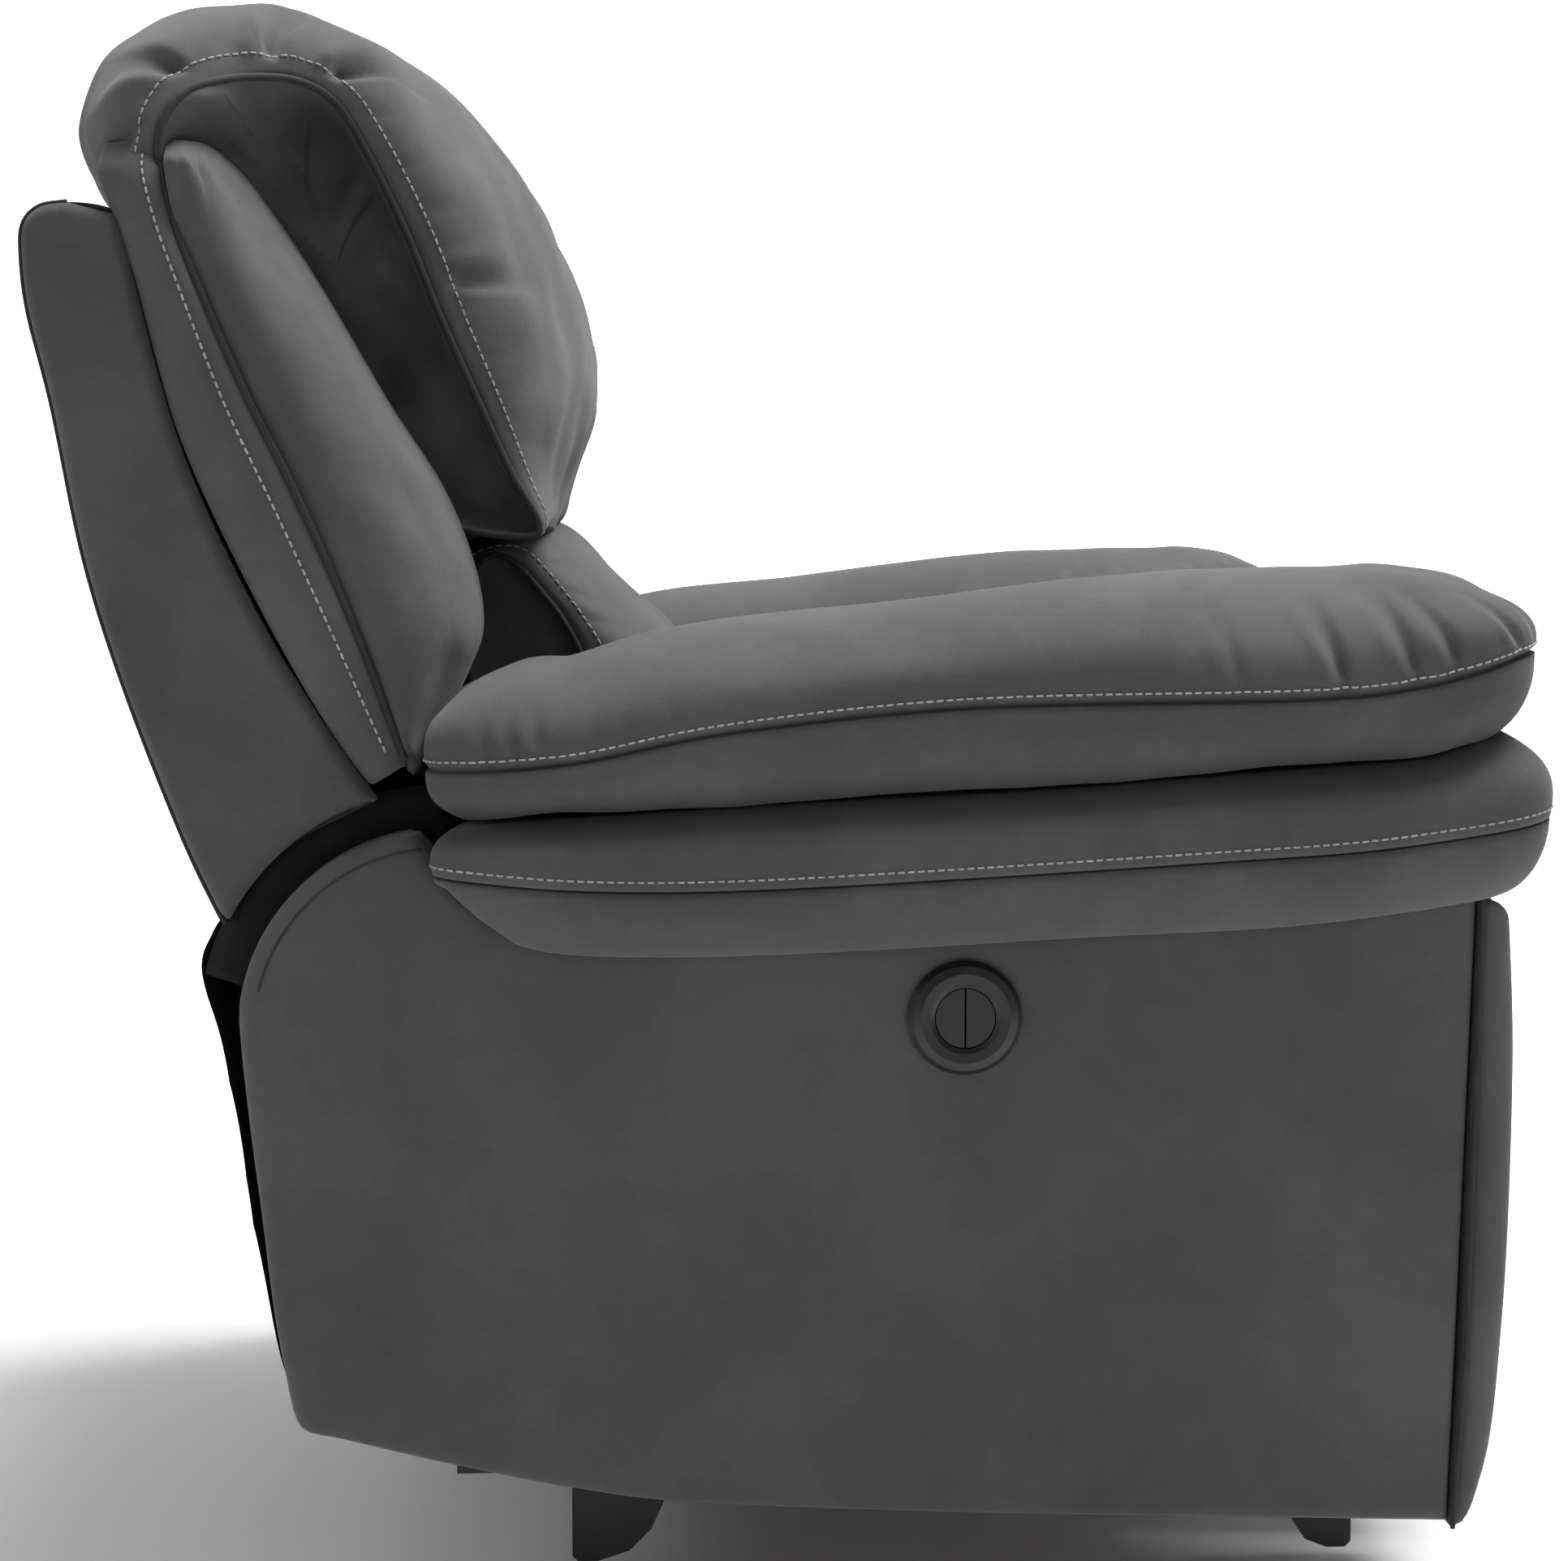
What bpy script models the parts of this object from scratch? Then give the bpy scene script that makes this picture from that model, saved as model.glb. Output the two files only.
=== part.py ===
"""Power recliner armchair, modelled as separate pieces.

Metres, +Z up, the floor at Z = 0. The chair faces -Y and its width runs along X, so the
sitter's right side is at -X. Side outlines are lists of (y, z) points.
"""

import math

import bmesh
import bpy
from mathutils import Matrix, Vector

# ---------------------------------------------------------------- driving dimensions

SIDES = {"left": 1, "right": -1}
GAP = 0.0005                      # clearance kept between pieces that touch

# arms, as distances from the middle of the chair
ARM_FACE_X = 0.455                # outer face of the padded side panel
SIDE_PAD = 0.014                  # thickness of the side panel's foam and cloth
BOARD = 0.018                     # plywood of the arm
ARM_INNER_X = 0.2725              # inner face of the inner arm board
ARM_OUT_X = 0.500                 # how far the pillow arm hangs outwards
ARM_IN_X = 0.2615                 # how far it hangs inwards, over the seat

# seat
SEAT_HALF = 0.258
SEAT_FRONT_Y = -0.418
SEAT_REAR_Y = 0.185
RAIL_TOP = 0.365                  # top of the rails that carry the seat springs

# back, hinged on the recline axis
RECLINE_Y = 0.247
RECLINE_Z = 0.386
ARM_ARC = 0.1295                  # radius of the arm's rear corner about the recline axis
BACK_ARC = 0.152                  # radius of the back's lower edge about the recline axis
BACK_HALF = 0.440
PILLOW_HALF = 0.330
POST_X = 0.4103                   # middle of each timber post of the back
POST = 0.030
WING = 0.0136                     # thickness of the flat side wing

# footrest scissor
DRIVE_Y = -0.328                  # torque tube
DRIVE_Z = 0.310
LINK_LENGTH = 0.240
LINK_A_REST = math.radians(-70)   # angle of link A above the forward direction, folded
LINK_B_REST = math.radians(90)    # angle of link B, folded
LINK_HALF = 0.013                 # half the width of a link bar
STEEL = 0.004                     # thickness of the mechanism's steel bars
LINK_A_X = 0.238                  # middle planes of the bars on each side
LINK_B_X = 0.232
BRACKET_X = 0.224
PLATE_X = 0.245
BACK_BRACKET_X = 0.2395
FOOT_BOARD_Y = -0.4280            # rear face of the footrest's board, folded
FOOT_BOARD = 0.012

# linear actuator
CRANK = 0.060                     # throw of the crank on the torque tube
CRANK_REST = math.radians(-121)   # angle of the crank above the forward direction, folded
CRANK_PIN_RADIUS = 0.004
SCREW_Z = 0.212
SCREW_RADIUS = 0.0060
NUT_HALF = 0.018                  # half the nut's length along the screw
MOTOR_FRONT_Y = 0.030             # where the screw and its rail meet the gear motor
BEARING_Y = -0.3880               # bearing at the screw's free end, ahead of the nut's travel
BEARING = 0.0130

# power switch on the right arm
SWITCH_Y = -0.085
SWITCH_Z = 0.394
BEZEL_RADIUS = 0.0367
BEZEL_HOLE = 0.0197
SWITCH_CUP_RADIUS = 0.0285
BUTTON_RADIUS = 0.0190
BUTTON_TRAVEL = 0.002

RECLINE = (RECLINE_Y, RECLINE_Z)
DRIVE = (DRIVE_Y, DRIVE_Z)


def ahead(start, length, angle):
    """The (y, z) point that lies length away from start, at angle above forwards."""
    return (start[0] - length * math.cos(angle), start[1] + length * math.sin(angle))


ELBOW = ahead(DRIVE, LINK_LENGTH, LINK_A_REST)
FOOT_PIVOT = ahead(ELBOW, LINK_LENGTH, LINK_B_REST)
CRANK_PIN = ahead(DRIVE, CRANK, CRANK_REST)


# ---------------------------------------------------------------- scene and materials

for old in list(bpy.data.objects):
    bpy.data.objects.remove(old, do_unlink=True)

parts = bpy.data.collections.new("recliner_armchair")
cutters = bpy.data.collections.new("cutters")
bpy.context.scene.collection.children.link(parts)
bpy.context.scene.collection.children.link(cutters)


def make_material(name, colour, roughness, metallic=0.0):
    """A Principled material with one colour."""
    material = bpy.data.materials.new(name)
    material.use_nodes = True
    shader = material.node_tree.nodes["Principled BSDF"]
    shader.inputs["Base Color"].default_value = (*colour, 1.0)
    shader.inputs["Roughness"].default_value = roughness
    shader.inputs["Metallic"].default_value = metallic
    return material


SUEDE = make_material("charcoal_suede", (0.060, 0.060, 0.058), 0.95)
SUEDE_SIDE = make_material("charcoal_suede_panel", (0.054, 0.054, 0.053), 0.95)
BLACK_CLOTH = make_material("black_dust_cloth", (0.008, 0.008, 0.008), 0.95)
PLYWOOD = make_material("plywood", (0.52, 0.38, 0.22), 0.7)
PINE = make_material("pine_rail", (0.60, 0.45, 0.26), 0.65)
BLACK_STEEL = make_material("black_steel", (0.015, 0.015, 0.016), 0.45, 0.6)
ZINC = make_material("zinc_steel", (0.48, 0.48, 0.47), 0.35, 1.0)
SPRING_STEEL = make_material("spring_steel", (0.20, 0.20, 0.21), 0.4, 1.0)
BLACK_PLASTIC = make_material("black_plastic", (0.012, 0.012, 0.012), 0.5)
SWITCH_PLASTIC = make_material("switch_plastic", (0.020, 0.020, 0.020), 0.25)
ALUMINIUM = make_material("aluminium", (0.60, 0.60, 0.61), 0.35, 1.0)
FOAM = make_material("seat_foam", (0.70, 0.66, 0.52), 0.9)


# ---------------------------------------------------------------- ways to make a piece

def add_object(name, mesh, material, location=(0, 0, 0)):
    """Links a mesh as an object with one material."""
    thing = bpy.data.objects.new(name, mesh)
    thing.location = location
    parts.objects.link(thing)
    mesh.materials.clear()
    mesh.materials.append(material)
    return thing


def from_bmesh(name, bm, material, location=(0, 0, 0)):
    """Turns a bmesh into an object, with its faces pointing out."""
    bmesh.ops.recalc_face_normals(bm, faces=bm.faces)
    if bm.calc_volume(signed=True) < 0:
        bmesh.ops.reverse_faces(bm, faces=bm.faces)
    mesh = bpy.data.meshes.new(name)
    bm.to_mesh(mesh)
    bm.free()
    return add_object(name, mesh, material, location)


def box(name, low, high, material, bevel=0.0):
    """A box between two corners, with its origin at its middle."""
    low = Vector(low)
    high = Vector(high)
    bm = bmesh.new()
    bmesh.ops.create_cube(bm, size=1.0)
    bmesh.ops.scale(bm, vec=high - low, verts=bm.verts)
    thing = from_bmesh(name, bm, material, (low + high) / 2)
    if bevel:
        add_bevel(thing, bevel)
    return thing


def add_bevel(thing, width, segments=2):
    """Rounds a piece's sharp edges."""
    bevel = thing.modifiers.new("rounded_edges", "BEVEL")
    bevel.width = width
    bevel.segments = segments
    bevel.limit_method = "ANGLE"
    bevel.angle_limit = math.radians(50)


def rod(name, x_from, x_to, centre, radius, material, pivot=(0, 0), sides=24):
    """A cylinder along X between two x values, centred on the (y, z) point centre."""
    bm = bmesh.new()
    bmesh.ops.create_cone(bm, cap_ends=True, segments=sides, radius1=radius,
                          radius2=radius, depth=abs(x_to - x_from))
    bmesh.ops.rotate(bm, verts=bm.verts, matrix=Matrix.Rotation(math.pi / 2, 3, "Y"))
    middle = Vector(((x_from + x_to) / 2, centre[0] - pivot[0], centre[1] - pivot[1]))
    bmesh.ops.translate(bm, verts=bm.verts, vec=middle)
    thing = from_bmesh(name, bm, material, (0, pivot[0], pivot[1]))
    thing.data.shade_smooth()
    thing.data.set_sharp_from_angle(angle=math.radians(40))
    return thing


def bar_along_y(name, y_from, y_to, x, z, radius, material, sides=16):
    """A cylinder along Y."""
    bm = bmesh.new()
    bmesh.ops.create_cone(bm, cap_ends=True, segments=sides, radius1=radius,
                          radius2=radius, depth=abs(y_to - y_from))
    bmesh.ops.rotate(bm, verts=bm.verts, matrix=Matrix.Rotation(math.pi / 2, 3, "X"))
    thing = from_bmesh(name, bm, material, (x, (y_from + y_to) / 2, z))
    thing.data.shade_smooth()
    thing.data.set_sharp_from_angle(angle=math.radians(40))
    return thing


def plate(name, outline, x, thickness, material, pivot=(0, 0)):
    """A flat plate: a filled side outline, extruded along X to its thickness."""
    curve = bpy.data.curves.new(name, "CURVE")
    curve.dimensions = "2D"
    curve.fill_mode = "BOTH"
    curve.extrude = thickness / 2
    spline = curve.splines.new("POLY")
    spline.points.add(len(outline) - 1)
    for point, (y, z) in zip(spline.points, outline):
        point.co = (y - pivot[0], z - pivot[1], 0.0, 1.0)
    spline.use_cyclic_u = True
    flat = bpy.data.objects.new(name + "_outline", curve)
    parts.objects.link(flat)
    bpy.context.view_layer.update()
    mesh = bpy.data.meshes.new_from_object(flat.evaluated_get(
        bpy.context.evaluated_depsgraph_get()))
    bpy.data.objects.remove(flat, do_unlink=True)
    bm = bmesh.new()
    bm.from_mesh(mesh)
    bmesh.ops.remove_doubles(bm, verts=bm.verts, dist=0.00001)
    for vertex in bm.verts:
        along_y, along_z, along_x = vertex.co
        vertex.co = (x + along_x, along_y, along_z)
    bpy.data.meshes.remove(mesh)
    return from_bmesh(name, bm, material, (0, pivot[0], pivot[1]))


def flow(points, steps):
    """A closed smooth outline through a few points (Catmull-Rom)."""
    count = len(points)
    result = []
    for i in range(count):
        p0, p1, p2, p3 = (Vector(points[(i + k - 1) % count]) for k in range(4))
        for step in range(steps):
            t = step / steps
            place = 0.5 * (2 * p1 + (p2 - p0) * t + (2 * p0 - 5 * p1 + 4 * p2 - p3) * t * t
                           + (3 * p1 - p0 - 3 * p2 + p3) * t ** 3)
            result.append(place)
    return result


def inset(outline, distance):
    """Moves each point of a closed outline inwards, square to the outline there."""
    count = len(outline)
    area = sum(outline[i - 1].cross(outline[i]) for i in range(count))
    turn = 1.0 if area > 0 else -1.0
    moved = []
    for i in range(count):
        along = (outline[(i + 1) % count] - outline[i - 1]).normalized()
        moved.append(outline[i] + turn * distance * Vector((-along.y, along.x)))
    return moved


def pad(name, points, x_from, x_to, roundness, material, pivot=(0, 0), steps=2):
    """A stuffed piece: a smooth side outline swept along X, drawn in at both ends."""
    outline = flow(points, steps)
    stations = ((0.0, 1.0), (0.3, 0.3), (1.0, 0.0))
    width = x_to - x_from
    edge = math.copysign(roundness, width)
    rings = [(x_from + edge * along, draw) for along, draw in stations]
    rings += [(x_to - edge * along, draw) for along, draw in reversed(stations)]
    bm = bmesh.new()
    loops = []
    for x, draw in rings:
        shape = inset(outline, roundness * draw)
        loops.append([bm.verts.new((x, p.x - pivot[0], p.y - pivot[1])) for p in shape])
    for first, second in zip(loops, loops[1:]):
        for i in range(len(first)):
            bm.faces.new((first[i - 1], first[i], second[i], second[i - 1]))
    bm.faces.new(loops[0])
    bm.faces.new(loops[-1])
    thing = from_bmesh(name, bm, material, (0, pivot[0], pivot[1]))
    thing.data.shade_smooth()
    return thing


def turned(name, profile, centre, material, location):
    """A solid of revolution about X: a closed profile of (x, radius) points."""
    mesh = bpy.data.meshes.new(name)
    area = sum(profile[i - 1][0] * profile[i][1] - profile[i][0] * profile[i - 1][1]
               for i in range(len(profile)))
    closed = [(x, r, 0.0) for x, r in (profile if area > 0 else profile[::-1])]
    edges = [(i - 1, i) for i in range(len(closed)) if closed[i - 1][1] or closed[i][1]]
    mesh.from_pydata(closed, [(i % len(closed), j) for i, j in edges], [])
    thing = add_object(name, mesh, material, (location[0], centre[0], centre[1]))
    screw = thing.modifiers.new("turning", "SCREW")
    screw.axis = "X"
    screw.steps = 48
    screw.render_steps = 48
    screw.use_merge_vertices = True
    screw.merge_threshold = 0.00005
    return thing


def hide_cutter(cutter):
    """Keeps a cutter out of the model."""
    cutter.hide_render = True
    cutter.display_type = "WIRE"


def join(thing, other):
    """Makes thing one body with other, which is used up."""
    combine(thing, other, "UNION")


def cut(thing, other):
    """Takes other out of thing."""
    combine(thing, other, "DIFFERENCE")


def combine(thing, other, operation):
    """A Boolean modifier with an exact solver."""
    for collection in list(other.users_collection):
        collection.objects.unlink(other)
    cutters.objects.link(other)
    hide_cutter(other)
    boolean = thing.modifiers.new(other.name, "BOOLEAN")
    boolean.operation = operation
    boolean.solver = "EXACT"
    boolean.object = other


def arc(centre, radius, start, end, count):
    """Points on a circle of (y, z), from start to end in degrees above +Y."""
    return [(centre[0] + radius * math.cos(math.radians(start + (end - start) * i / count)),
             centre[1] + radius * math.sin(math.radians(start + (end - start) * i / count)))
            for i in range(count + 1)]


def capsule(first, second, radius, count=8):
    """The outline of a bar with round ends, between two (y, z) points."""
    heading = math.degrees(math.atan2(second[1] - first[1], second[0] - first[0]))
    return (arc(second, radius, heading - 90, heading + 90, count)
            + arc(first, radius, heading + 90, heading + 270, count))


def spring_unit(name, paths, bars, radius, material, pivot=(0, 0, 0)):
    """Sinuous wires side by side, joined by a clip bar at each end."""
    origin = Vector(pivot)
    unit = None
    for low, high in bars:
        bar = box(f"{name}_clip_bar", low, high, material)
        if unit is None:
            unit = bar
            unit.name = name
            unit.data.transform(Matrix.Translation(unit.location - origin))
            unit.location = origin
        else:
            join(unit, bar)
    for path in paths:
        join(unit, wire(f"{name}_wire", path, radius, material))
    return unit


def wire(name, path, radius, material):
    """A round wire along a list of points, as a closed mesh."""
    curve = bpy.data.curves.new(name, "CURVE")
    curve.dimensions = "3D"
    curve.bevel_depth = radius
    curve.bevel_resolution = 2
    curve.use_fill_caps = True
    spline = curve.splines.new("POLY")
    spline.points.add(len(path) - 1)
    for point, place in zip(spline.points, path):
        point.co = (*place, 1.0)
    thing = bpy.data.objects.new(name, curve)
    parts.objects.link(thing)
    bpy.context.view_layer.update()
    mesh = bpy.data.meshes.new_from_object(thing.evaluated_get(
        bpy.context.evaluated_depsgraph_get()))
    bpy.data.objects.remove(thing, do_unlink=True)
    bm = bmesh.new()
    bm.from_mesh(mesh)
    bmesh.ops.remove_doubles(bm, verts=bm.verts, dist=0.00001)
    bpy.data.meshes.remove(mesh)
    return from_bmesh(name, bm, material)


def zigzag(start, end, middle_x, swing, waves):
    """A sinuous spring between two (y, z) points: it swings along X as it goes."""
    count = waves * 4
    path = []
    for i in range(count + 1):
        t = i / count
        x = middle_x + swing * math.sin(2 * math.pi * waves * t)
        path.append((x, start[0] + (end[0] - start[0]) * t, start[1] + (end[1] - start[1]) * t))
    return path


def axis_empty(name, place, parent=None, parent_place=(0, 0, 0)):
    """An empty on a joint's axis, which carries the moving pieces."""
    empty = bpy.data.objects.new(name, None)
    empty.empty_display_size = 0.05
    empty.location = Vector(place) - Vector(parent_place)
    empty.parent = parent
    parts.objects.link(empty)
    return empty


def carry(empty, place, *pieces):
    """Hangs pieces on an axis empty that stands at place, and keeps them where they are."""
    for piece in pieces:
        piece.parent = empty
        piece.location = piece.location - Vector(place)


# ---------------------------------------------------------------- base

BASE_RAIL_X = 0.3075
BASE_TUBE = 0.030
BASE_Z = (0.0630, 0.0925)


def make_base():
    """A welded frame of two runners and two cross tubes, on four small shaped feet."""
    half = BASE_TUBE / 2
    frame = None
    for sign in SIDES.values():
        middle = sign * BASE_RAIL_X
        runner = box("base_frame", (middle - half, -0.385, BASE_Z[0]),
                     (middle + half, 0.245, BASE_Z[1]), BLACK_STEEL)
        if frame is None:
            frame = runner
        else:
            runner.name = "base_runner"
            join(frame, runner)
    for name, y in (("front", -0.270), ("rear", 0.200)):
        join(frame, box(f"base_cross_{name}", (-BASE_RAIL_X, y, BASE_Z[0] + 0.001),
                        (BASE_RAIL_X, y + BASE_TUBE, BASE_Z[1] - 0.001), BLACK_STEEL))
    top = BASE_Z[0] - GAP
    rear = [(0.167, top), (0.167, 0.004), (0.163, 0.0), (0.150, 0.0), (0.128, 0.007),
            (0.113, 0.022), (0.104, 0.042), (0.104, top)]
    front = [(-0.371, top), (-0.371, 0.004), (-0.367, 0.0), (-0.354, 0.0), (-0.339, 0.006),
             (-0.331, 0.020), (-0.326, 0.040), (-0.326, top)]
    for side, sign in SIDES.items():
        plate(f"foot_rear_{side}", rear, sign * 0.305, 0.034, BLACK_PLASTIC)
        plate(f"foot_front_{side}", front, sign * 0.305, 0.034, BLACK_PLASTIC)


# ---------------------------------------------------------------- arms

# where the pillow arm's lower roll meets the side panel, from the rear to the front
ROLL_UNDERSIDE = [(0.2450, 0.487), (0.2380, 0.470), (0.2230, 0.456), (0.1925, 0.4415),
                  (0.1415, 0.436), (0.0135, 0.437), (-0.1425, 0.444), (-0.2988, 0.453),
                  (-0.4180, 0.465)]
CREASE = [(0.2480, 0.520), (0.1666, 0.5246), (0.0139, 0.533), (-0.1400, 0.542),
          (-0.2950, 0.552), (-0.4100, 0.563), (-0.4400, 0.566)]
PAD_TOP = [(0.2500, 0.552), (0.2430, 0.576), (0.2165, 0.604), (0.1666, 0.621),
           (0.0870, 0.639), (-0.0435, 0.659), (-0.1495, 0.669), (-0.2550, 0.678),
           (-0.3615, 0.6786), (-0.4200, 0.666), (-0.4570, 0.638), (-0.4680, 0.606),
           (-0.4600, 0.584)]
ARM_REAR = [(0.3490, 0.165), (0.3560, 0.2075), (0.3629, 0.270), (0.3685, 0.322),
            (0.3735, 0.3795)]
ARM_BOTTOM = [(-0.4060, 0.0556), (-0.2518, 0.0608), (-0.0663, 0.0676), (0.0910, 0.077),
              (0.1665, 0.088), (0.2467, 0.1055), (0.3135, 0.1225), (0.3370, 0.1290),
              (0.3440, 0.1390)]
ARM_SEAM_Y = -0.4195              # seam between the side panel and the front border
ARM_FRONT_X = 0.364               # middle of the front border
ARM_FRONT_WIDTH = 0.176
BOARD_FRONT_Y = -0.4040           # front edge of both plywood boards
BOARD_INSET = 0.004               # how far the boards stay inside the panel's outline
ROLL_ROUNDNESS = 0.030            # how far each layer of the pillow arm is drawn in
PAD_ROUNDNESS = 0.036


def shift(points, dy, dz):
    """The same outline, moved."""
    return [(y + dy, z + dz) for y, z in points]


def side_outline():
    """The arm's side: flat foot, upright rear edge and a corner about the recline axis."""
    corner = arc(RECLINE, ARM_ARC, 10, 84, 9)
    top = shift(ROLL_UNDERSIDE, 0.0015, -0.0015)
    front = [(ARM_SEAM_Y, 0.440), (ARM_SEAM_Y, 0.300), (-0.4120, 0.170)]
    return ARM_BOTTOM + ARM_REAR + corner + top + front


def make_arm(side, sign):
    """Plywood boards, a padded side panel, a front border and a two-layer pillow arm.

    Returns the side panel and the board behind it, which the right arm's switch is let into.
    """
    panel_x = ARM_FACE_X - SIDE_PAD / 2
    board_x = ARM_FACE_X - SIDE_PAD - GAP - BOARD / 2
    panel = plate(f"side_panel_{side}", side_outline(), sign * panel_x, SIDE_PAD, SUEDE_SIDE)
    rear_board = shift(ARM_REAR, -BOARD_INSET, 0.0)
    board_outline = (
        [(BOARD_FRONT_Y, 0.0940), (0.2450, 0.1300), (0.3400, 0.1480)] + rear_board
        + arc(RECLINE, ARM_ARC - BOARD_INSET, 10, 84, 7)
        + shift(ROLL_UNDERSIDE, BOARD_INSET, -2 * BOARD_INSET)[1:-1]
        + [(BOARD_FRONT_Y, 0.455)])
    outer = plate(f"arm_side_board_{side}", board_outline, sign * board_x, BOARD, PLYWOOD)
    inner_outline = (
        [(BOARD_FRONT_Y, 0.0940), (0.3390, 0.1480)] + rear_board
        + arc(RECLINE, ARM_ARC - BOARD_INSET, 10, 60, 6)
        + [(0.2100, 0.433), (-0.1400, 0.436), (BOARD_FRONT_Y, 0.455)])
    plate(f"arm_inner_board_{side}", inner_outline, sign * (ARM_INNER_X + BOARD / 2), BOARD,
          PLYWOOD)
    border = [(-0.4190, 0.051), (-0.4344, 0.105), (-0.4412, 0.175), (-0.4451, 0.256),
              (-0.4463, 0.363), (-0.4430, 0.440), (-0.4350, 0.460), (-0.4215, 0.464),
              (ARM_SEAM_Y - GAP, 0.440), (ARM_SEAM_Y - GAP, 0.300), (-0.4130, 0.170),
              (-0.4070, 0.0560)]
    plate(f"arm_front_{side}", border, sign * ARM_FRONT_X, ARM_FRONT_WIDTH, SUEDE)
    underside = ROLL_UNDERSIDE + [(-0.4420, 0.471)]
    crease = shift(CREASE, 0.0, -0.0015)[::-1]
    roll = underside + [(-0.4600, 0.505), (-0.4560, 0.548)] + crease[1:]
    pad_between(f"arm_roll_{side}", roll, sign, ROLL_ROUNDNESS)
    pillow = shift(CREASE, 0.0, 0.0015)[:-1] + [(-0.4350, 0.570)] + PAD_TOP[::-1]
    pad_between(f"arm_pad_{side}", pillow, sign, PAD_ROUNDNESS)
    return panel, outer


def pad_between(name, points, sign, roundness):
    """A stuffed arm piece, as wide as the pillow arm."""
    return pad(name, points, sign * ARM_IN_X, sign * ARM_OUT_X, roundness, SUEDE, steps=1)


# ---------------------------------------------------------------- seat

def make_seat():
    """Side rails, front and rear rails, sinuous springs and one crowned cushion."""
    for side, sign in SIDES.items():
        xs = sorted((sign * (PLATE_X + STEEL / 2 + GAP), sign * (ARM_INNER_X - GAP)))
        box(f"seat_side_rail_{side}", (xs[0], -0.400, RAIL_TOP - 0.028),
            (xs[1], 0.215, RAIL_TOP - 0.003), PINE, bevel=0.002)
    half = PLATE_X - STEEL / 2 - GAP
    box("seat_front_rail", (-half, -0.382, RAIL_TOP - 0.030), (half, -0.356, RAIL_TOP), PINE,
        bevel=0.002)
    box("seat_rear_rail", (-half, 0.160, RAIL_TOP - 0.030), (half, 0.190, RAIL_TOP), PINE,
        bevel=0.002)
    height = RAIL_TOP + 0.0033
    paths = [zigzag((-0.371, height), (0.175, height), x, 0.026, 9)
             for x in (-0.165, -0.055, 0.055, 0.165)]
    bars = [((-0.200, y - 0.005, RAIL_TOP + GAP), (0.200, y + 0.005, RAIL_TOP + 0.006))
            for y in (-0.371, 0.175)]
    spring_unit("seat_springs", paths, bars, 0.0020, SPRING_STEEL)
    cushion = [(SEAT_FRONT_Y + 0.012, 0.378), (-0.2000, 0.376), (0.0500, 0.376),
               (SEAT_REAR_Y - 0.010, 0.380), (SEAT_REAR_Y, 0.430), (SEAT_REAR_Y - 0.015, 0.478),
               (0.0800, 0.492), (-0.1000, 0.498), (-0.2600, 0.506), (-0.3700, 0.504),
               (SEAT_FRONT_Y, 0.480), (SEAT_FRONT_Y - 0.001, 0.430)]
    pad("seat_cushion", cushion, -SEAT_HALF, SEAT_HALF, 0.026, SUEDE)


# ---------------------------------------------------------------- mechanism

def make_mechanism():
    """Side plates, the footrest's torque tube and scissor links, and the footrest."""
    for side, sign in SIDES.items():
        outline = [(-0.360, 0.292), (-0.300, 0.292), (-0.285, 0.318), (0.180, 0.318),
                   (0.235, 0.352), (0.280, 0.362), (0.280, 0.410), (0.222, 0.410),
                   (0.200, 0.3615), (-0.360, 0.3615)]
        side_plate = plate(f"mech_plate_{side}", outline, sign * PLATE_X, STEEL, BLACK_STEEL)
        cut(side_plate, rod(f"drive_hole_{side}", sign * 0.230, sign * 0.260, DRIVE, 0.0078,
                            BLACK_STEEL, sides=20))
        cut(side_plate, rod(f"recline_hole_{side}", sign * 0.230, sign * 0.260, RECLINE,
                            0.0085, BLACK_STEEL, sides=20))

    drive_place = (0, *DRIVE)
    drive = axis_empty("footrest_drive_axis", drive_place)
    end = LINK_A_X - STEEL / 2 - GAP
    stub = PLATE_X + STEEL / 2 + 0.0002
    tube = turned("torque_tube", [(-stub, 0.0), (-stub, 0.0070), (-end, 0.0070),
                                  (-end, 0.0125), (end, 0.0125), (end, 0.0070),
                                  (stub, 0.0070), (stub, 0.0)], DRIVE, ZINC, (0, 0, 0))
    join(tube, plate("crank_web", capsule(DRIVE, CRANK_PIN, 0.010), 0.0, 0.008, ZINC))
    join(tube, rod("crank_pin", -0.0150, 0.0150, CRANK_PIN, CRANK_PIN_RADIUS, ZINC,
                   sides=16))
    carry(drive, drive_place, tube)

    for side, sign in SIDES.items():
        link_a = plate(f"link_a_{side}", capsule(DRIVE, ELBOW, LINK_HALF), sign * LINK_A_X,
                       STEEL, BLACK_STEEL, pivot=DRIVE)
        cut(link_a, rod(f"link_a_root_hole_{side}", sign * 0.225, sign * 0.250, DRIVE, 0.0073,
                        BLACK_STEEL, sides=20))
        cut(link_a, rod(f"link_a_elbow_hole_{side}", sign * 0.225, sign * 0.250, ELBOW,
                        0.0055, BLACK_STEEL, sides=16))
        carry(drive, drive_place, link_a)

        elbow_place = (0, *ELBOW)
        elbow = axis_empty(f"elbow_axis_{side}", elbow_place, drive, drive_place)
        link_b = plate(f"link_b_{side}", capsule(ELBOW, FOOT_PIVOT, LINK_HALF),
                       sign * LINK_B_X, STEEL, BLACK_STEEL, pivot=ELBOW)
        join(link_b, rod(f"elbow_pin_{side}", sign * LINK_B_X, sign * 0.2412, ELBOW, 0.0050,
                         ZINC, sides=16))
        cut(link_b, rod(f"link_b_foot_hole_{side}", sign * 0.220, sign * 0.250, FOOT_PIVOT,
                        0.0055, BLACK_STEEL, sides=16))
        carry(elbow, elbow_place, link_b)
        if side == "left":
            make_footrest(elbow, elbow_place)


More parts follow.
